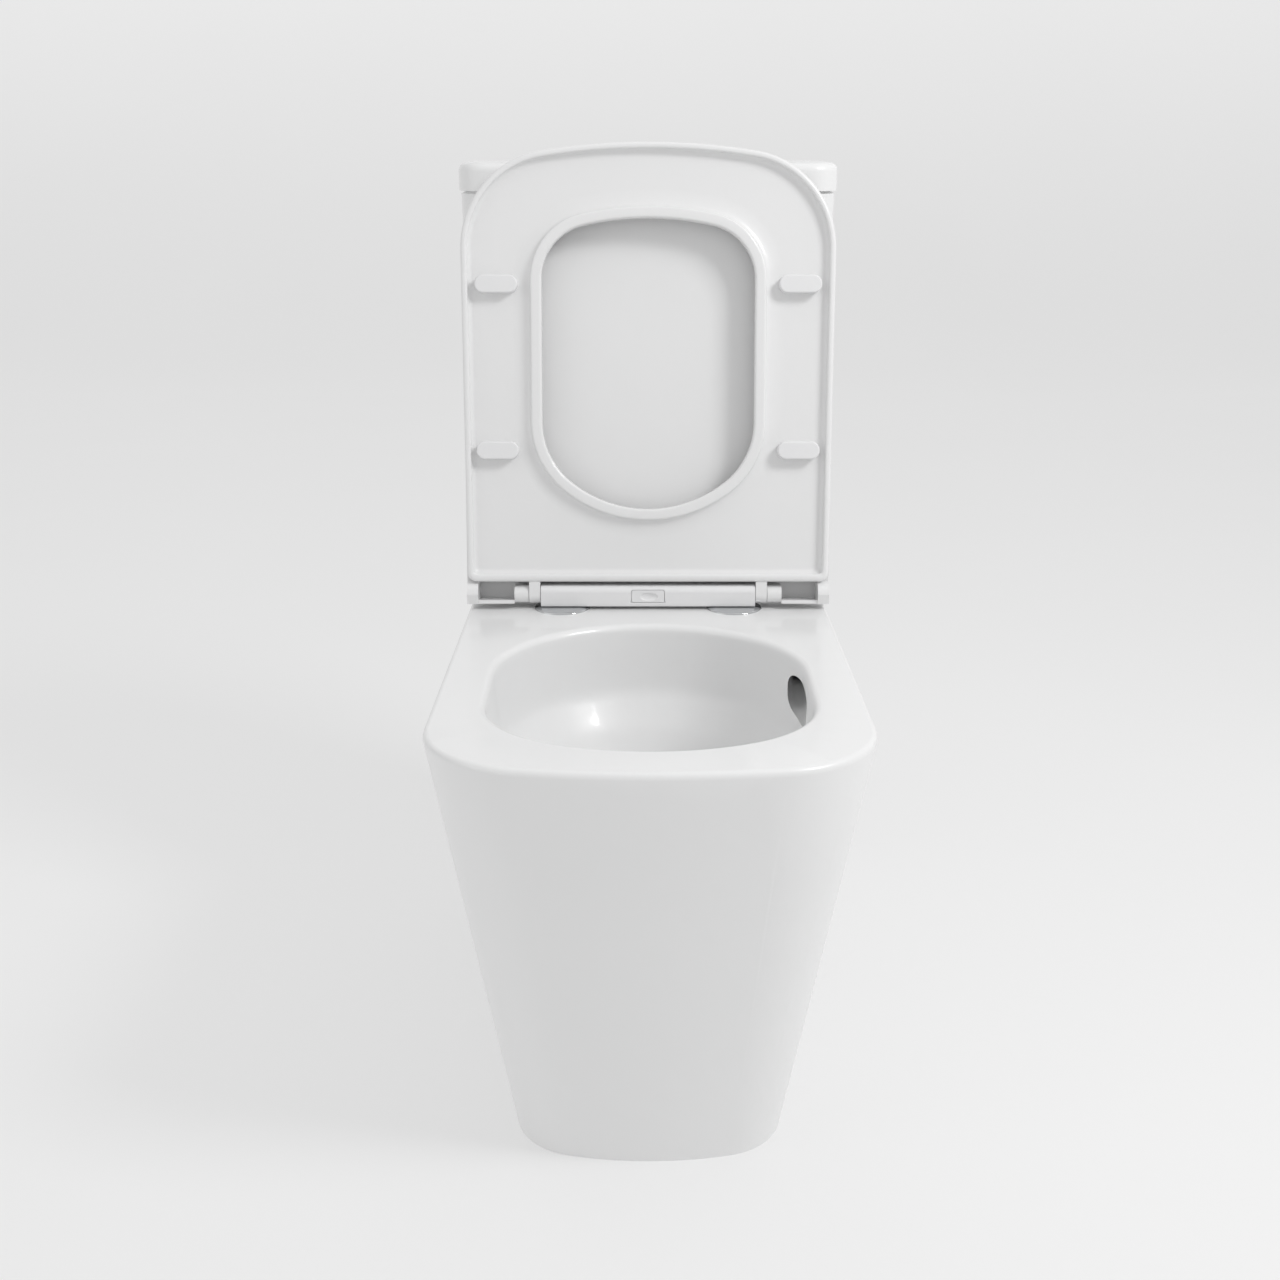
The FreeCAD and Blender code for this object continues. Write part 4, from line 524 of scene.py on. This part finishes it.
def bowl_loop(row, height, grow, count=ROUND_LOOP):
    """The outline of the bowl for one row of sizes, grown, as a loop at a height."""
    half, front, back, front_corner, back_corner = row
    front_nose = nose(half + grow, front - grow, front_corner + 8 + grow,
                      front_corner + grow, -1)
    back_nose = nose(half + grow, back + grow, back_corner + 14 + grow, back_corner + grow, 1)
    outline = even_loop(mirrored_loop(front_nose + back_nose[::-1]), count, BLEND)
    return [(x, y, height) for x, y in outline]


def bowl_filling():
    """A plug a little wider than the bowl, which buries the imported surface."""
    heights = (min(104.0 + 5.92 * i, DECK - 1.0) for i in range(51))
    return skin([bowl_loop(bowl_row(height), height, 6.0, 96) for height in heights])


def bowl_room():
    """The room inside the bowl, from the bottom of the sump to above its rounded mouth."""
    heights = (SUMP_FLOOR + 3.0 * i for i in range(92))
    walls = [bowl_loop(bowl_row(height), height, 0.0) for height in heights]
    mouth = []
    for i in range(1, 13):
        angle = math.radians(90.0) * i / 12
        mouth.append(bowl_loop(BOWL[0][1:], DECK - RIM_ROUND + RIM_ROUND * math.sin(angle),
                               RIM_ROUND * (1 - math.cos(angle))))
    mouth.append(bowl_loop(BOWL[0][1:], DECK + 4.0, RIM_ROUND))
    sump = [[(x * share, SUMP_MIDDLE + (y - SUMP_MIDDLE) * share,
              SUMP_FLOOR - 6.0 * (1 - share ** 2)) for x, y, _ in walls[0]]
            for share in (0.25, 0.5, 0.75, 0.92)]
    return skin(sump + walls + mouth)


def make_pan():
    """The pan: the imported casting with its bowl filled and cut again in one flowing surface."""
    pan = welded_copy("pan_glazed", "pan")
    port_housing = box_part((112.0, -176.0, 322.0), (156.0, -4.0, 394.0))
    flute = tube([place for place, _ in FLUTE], [swell for _, swell in FLUTE], 48, 0.7)
    trap = tube(TRAP_PATH, [(TRAP_RADIUS, TRAP_RADIUS)] * len(TRAP_PATH), 64)
    carve(pan, "UNION", solid("bowl_filling", bowl_filling()))
    carve(pan, "UNION", solid("port_housing", port_housing))
    carve(pan, "DIFFERENCE", solid("bowl_room", bowl_room()))
    carve(pan, "DIFFERENCE", solid("flush_flute", flute))
    carve(pan, "DIFFERENCE", solid("trap_mouth", trap))
    finish_piece(pan, "vitreous_china", "root", "pan")


# ---------------------------------------------------------------- seat ring

HINGE_Y, HINGE_Z = 97.0, 414.0
SEAT_LEAN = math.radians(-100.0)
RING_MIDDLE = (0.0, -225.0)
RING_TOP, RING_UNDER, RING_HOLLOW = 5.0, -11.0, -3.0


def raised(points):
    """Points of the seat as it lies on the pan, about its hinge axis, stood up as it rests."""
    cosine, sine = math.cos(SEAT_LEAN), math.sin(SEAT_LEAN)
    return [(x, HINGE_Y + y * cosine - z * sine, HINGE_Z + y * sine + z * cosine)
            for x, y, z in points]


def ring_edge(inset):
    """The ring's outline, that far inside its edge and a little more at the rear rail."""
    front = nose(180.0 - inset, inset - 432.0, 99.0 - inset, 92.0 - inset, -1)
    side, corner = 177.0 - inset, max(9.0 - inset, 4.0)
    rear = -12.8 - inset - 2.0 * min(1.0, inset / 7.5)
    turn = arc_points((side - corner, rear - corner), corner, 0.0, math.pi / 2, 12)
    return mirrored_loop(front + turn + [(0.0, rear)])


def hole_edge(outset):
    """The outline of the seat's hole, that far outside its edge."""
    front = nose(102.7 + outset, -361.5 - outset, 57.6 + outset, 52.0 + outset, -1)
    rear = nose(102.7 + outset, outset - 84.0, 84.0 + outset, 74.0 + outset, 1)
    return mirrored_loop(front + rear[::-1])


def ring_angles():
    """Even angles round the ring, and more of them at its two rear corners."""
    even = [math.pi * (i / 108 - 1) for i in range(216)]
    corner = [math.radians(46.6 + 0.4 * i) for i in range(18)]
    return sorted(even + corner + [math.pi - angle for angle in corner])


def make_ring():
    """The seat ring: a moulded shell with a soft rim, a lip round its hole and a hollow
    underside. Its section goes round as (distance from the edge, height) pairs."""
    rim = [(0.0, -7.8), (0.0, -4.0)] + quarter((6.0, -1.0), 6.0, 180, 90, 10) + [(9.0, RING_TOP)]
    lip = ([(9.0, RING_TOP)] + quarter((6.0, -1.0), 6.0, 90, 180, 10) + [(0.0, -5.0)]
           + quarter((2.5, RING_UNDER + 2.5), 2.5, 180, 270)
           + quarter((8.6, RING_UNDER + 2.2), 2.2, 270, 350))
    # the hollow falls away from the lip in a long soft slope
    for step in range(1, 11):
        turn = math.radians(90.0) * step / 10
        lip.append((28.0 - 17.0 * math.cos(turn) ** 1.4, -8.4 + 5.4 * math.sin(turn) ** 0.8))
    brim = ([(17.0, RING_HOLLOW)] + quarter((11.0, RING_HOLLOW - 5.0), 5.0, 90, 180, 8)
            + quarter((3.8, RING_UNDER + 2.2), 2.2, 0, -90)
            + quarter((3.2, RING_UNDER + 3.2), 3.2, -90, -168))
    angles = ring_angles()
    loops = []
    for edge, profile in ((ring_edge, rim), (hole_edge, lip), (ring_edge, brim)):
        for offset, height in profile:
            outline = polar_loop(edge(offset), RING_MIDDLE, angles)
            loops.append(raised([(x, y, height) for x, y in outline]))
    ring = solid("seat_ring_moulded", skin(loops, closed=True))
    for inner, outer in ((-118.0, -105.0), (105.0, 118.0)):
        arm = welded_copy("ring_arm", "seat_ring")
        arm_end = box_part((inner, 70.0, 395.0), (outer, 130.0, 430.3))
        carve(arm, "INTERSECT", solid("arm_end", arm_end))
        carve(ring, "UNION", arm)
    finish_piece(ring, "seat_plastic", "ring_body", "seat_ring")


# ---------------------------------------------------------------- hinge

BAR_FRONT = 87.5
BAR_HALF_LENGTH = 105.5
BAR_FOOT = 403.0
BUTTON_CLEAR = 17.5
POST_RADIUS = 5.1
POSTS = [(-85.2, HINGE_Y), (85.2, HINGE_Y)]


def make_hinge_bar():
    """The hinge bar: square shouldered in front and down to just above the rosettes."""
    bar = welded_copy("hinge_bar_moulded", "hinge_bar")
    apron = [(BAR_FRONT, 407.5), (BAR_FRONT, 405.0), (88.0, 403.7), (89.3, BAR_FOOT),
             (106.0, BAR_FOOT), (106.0, 407.5)]
    ends = (-BAR_HALF_LENGTH, BAR_HALF_LENGTH)
    carve(bar, "UNION", solid("bar_apron", skin([[(x, y, z) for y, z in apron] for x in ends])))
    for left, right in ((ends[0], -BUTTON_CLEAR), (BUTTON_CLEAR, ends[1])):
        shoulder = box_part((left, BAR_FRONT, 407.0), (right, 96.0, 412.0))
        carve(bar, "UNION", solid("bar_shoulder", shoulder))
    for post in POSTS:
        socket = lathe([(POST_RADIUS, 402.0), (POST_RADIUS, 407.0)], post, 48)
        carve(bar, "DIFFERENCE", solid("bar_socket", socket))
    finish_piece(bar, "hinge_plastic", "root", "hinge_bar")


def make_release_plate():
    """The hinge release: a plate with a shallow dish for the thumb."""
    plate = welded_copy("release_plate", "release_button")
    plate_face = box_part((-12.0, BAR_FRONT, 409.0), (12.0, 92.0, 419.0))
    carve(plate, "UNION", solid("plate_face", plate_face))
    turns = [2 * math.pi * k / 48 for k in range(48)]
    dish = []
    for i in range(1, 24):
        depth, reach = math.cos(math.pi * i / 24), math.sin(math.pi * i / 24)
        dish.append([(1.0 + 9.0 * reach * math.cos(turn), 87.1 + 2.2 * depth,
                      413.6 + 4.3 * reach * math.sin(turn)) for turn in turns])
    carve(plate, "DIFFERENCE", solid("thumb_dish", skin(dish)))
    finish_piece(plate, "hinge_plastic", "release_body", "release_button")


def make_rosettes():
    """Two pressed chrome roses with a rolled edge."""
    rolled = [(19.5 + 8.0 * math.cos(turn), DECK + 0.7 + 1.9 * math.sin(turn))
              for turn in (math.radians(90.0) * i / 12 for i in range(13))]
    profile = ([(POST_RADIUS, DECK), (27.5, DECK)] + rolled
               + [(12.0, DECK + 2.6), (POST_RADIUS, DECK + 2.6)])
    roses = [lathe(profile, post, closed=True) for post in POSTS]
    finish_piece(solid("rosettes_pressed", *roses), "bright_chrome", "root", "hinge_rosettes")


make_pan()
make_ring()
make_hinge_bar()
make_release_plate()
make_rosettes()


# ---------------------------------------------------------------- studio

def make_floor():
    """A pale floor that curves up into a wall far behind. The sheet glows a little, more so
    up the wall, which keeps the shadows pale."""
    half_width, front, turn, radius, top = 9.0, -7.0, 4.0, 2.5, 6.0
    profile = [(front, 0.0), (turn, 0.0)]
    steps = 24
    for step in range(1, steps + 1):
        angle = math.radians(90.0) * step / steps
        profile.append((turn + radius * math.sin(angle), radius * (1 - math.cos(angle))))
    profile.append((turn + radius, top))
    points = [(side * half_width, y, z) for y, z in profile for side in (-1, 1)]
    faces = [(2 * i, 2 * i + 1, 2 * i + 3, 2 * i + 2) for i in range(len(profile) - 1)]
    mesh = bpy.data.meshes.new("studio_floor")
    mesh.from_pydata(points, [], faces)
    mesh.polygons.foreach_set("use_smooth", [True] * len(mesh.polygons))
    floor = show("studio_floor", mesh)
    paint = Finish("studio_paint_and_glow", Roughness=0.75, Specular_IOR_Level=0.2, Emission_Strength=1.0)
    mottle = paint.noise(1.2, 3.0, 0.5)
    paint.colour(paint.mix_colour(mottle, grey(0.41), grey(0.43)))
    # painted glow: the floor and wall emit light of their own, rising up the wall, which keeps the
    # shadows pale
    painted_glow_up_wall = paint.step(paint.axis("Z"), -0.2, 2.0)
    paint.feed(paint.shader.inputs["Emission Color"],
               paint.mix_colour(painted_glow_up_wall, grey(0.43), grey(0.56)))
    floor.data.materials.append(paint.material)


def make_lamp(name, place, target, size, watts):
    """A square soft lamp at a place, aimed at a target, in metres."""
    lamp = bpy.data.lights.new(name, "AREA")
    lamp.shape, lamp.size, lamp.energy = "SQUARE", size, watts
    holder = bpy.data.objects.new(name, lamp)
    bpy.context.scene.collection.objects.link(holder)
    holder.location = place
    holder.rotation_mode = "QUATERNION"
    holder.rotation_quaternion = (Vector(target) - Vector(place)).to_track_quat("-Z", "Y")


def make_sky(strength):
    world = bpy.data.worlds.new("studio_air")
    world.use_nodes = True
    air = world.node_tree.nodes["Background"]
    air.inputs["Color"].default_value = grey(1.0)
    air.inputs["Strength"].default_value = strength
    bpy.context.scene.world = world


def make_camera():
    lens = bpy.data.cameras.new("camera")
    lens.lens, lens.sensor_width = 45.0, 36.0
    holder = bpy.data.objects.new("camera", lens)
    holder.location = (-0.0079, -1.4257, 0.8504)
    holder.rotation_euler = (math.radians(90.0 - 17.65), 0.0, 0.0)
    bpy.context.scene.collection.objects.link(holder)
    bpy.context.scene.camera = holder


make_floor()
make_sky(0.57)
make_lamp("top_softbox", (0.0, 0.3, 3.4), (0.0, 0.3, 0.0), 4.0, 14.0)
make_lamp("key_softbox", (1.44, -0.83, 2.0), (0.0, 0.05, 0.45), 0.60, 22.0)
make_lamp("fill_softbox", (-2.2, -1.2, 1.2), (0.0, 0.0, 0.45), 1.8, 6.0)
make_camera()
bpy.context.scene.view_settings.view_transform = "Standard"
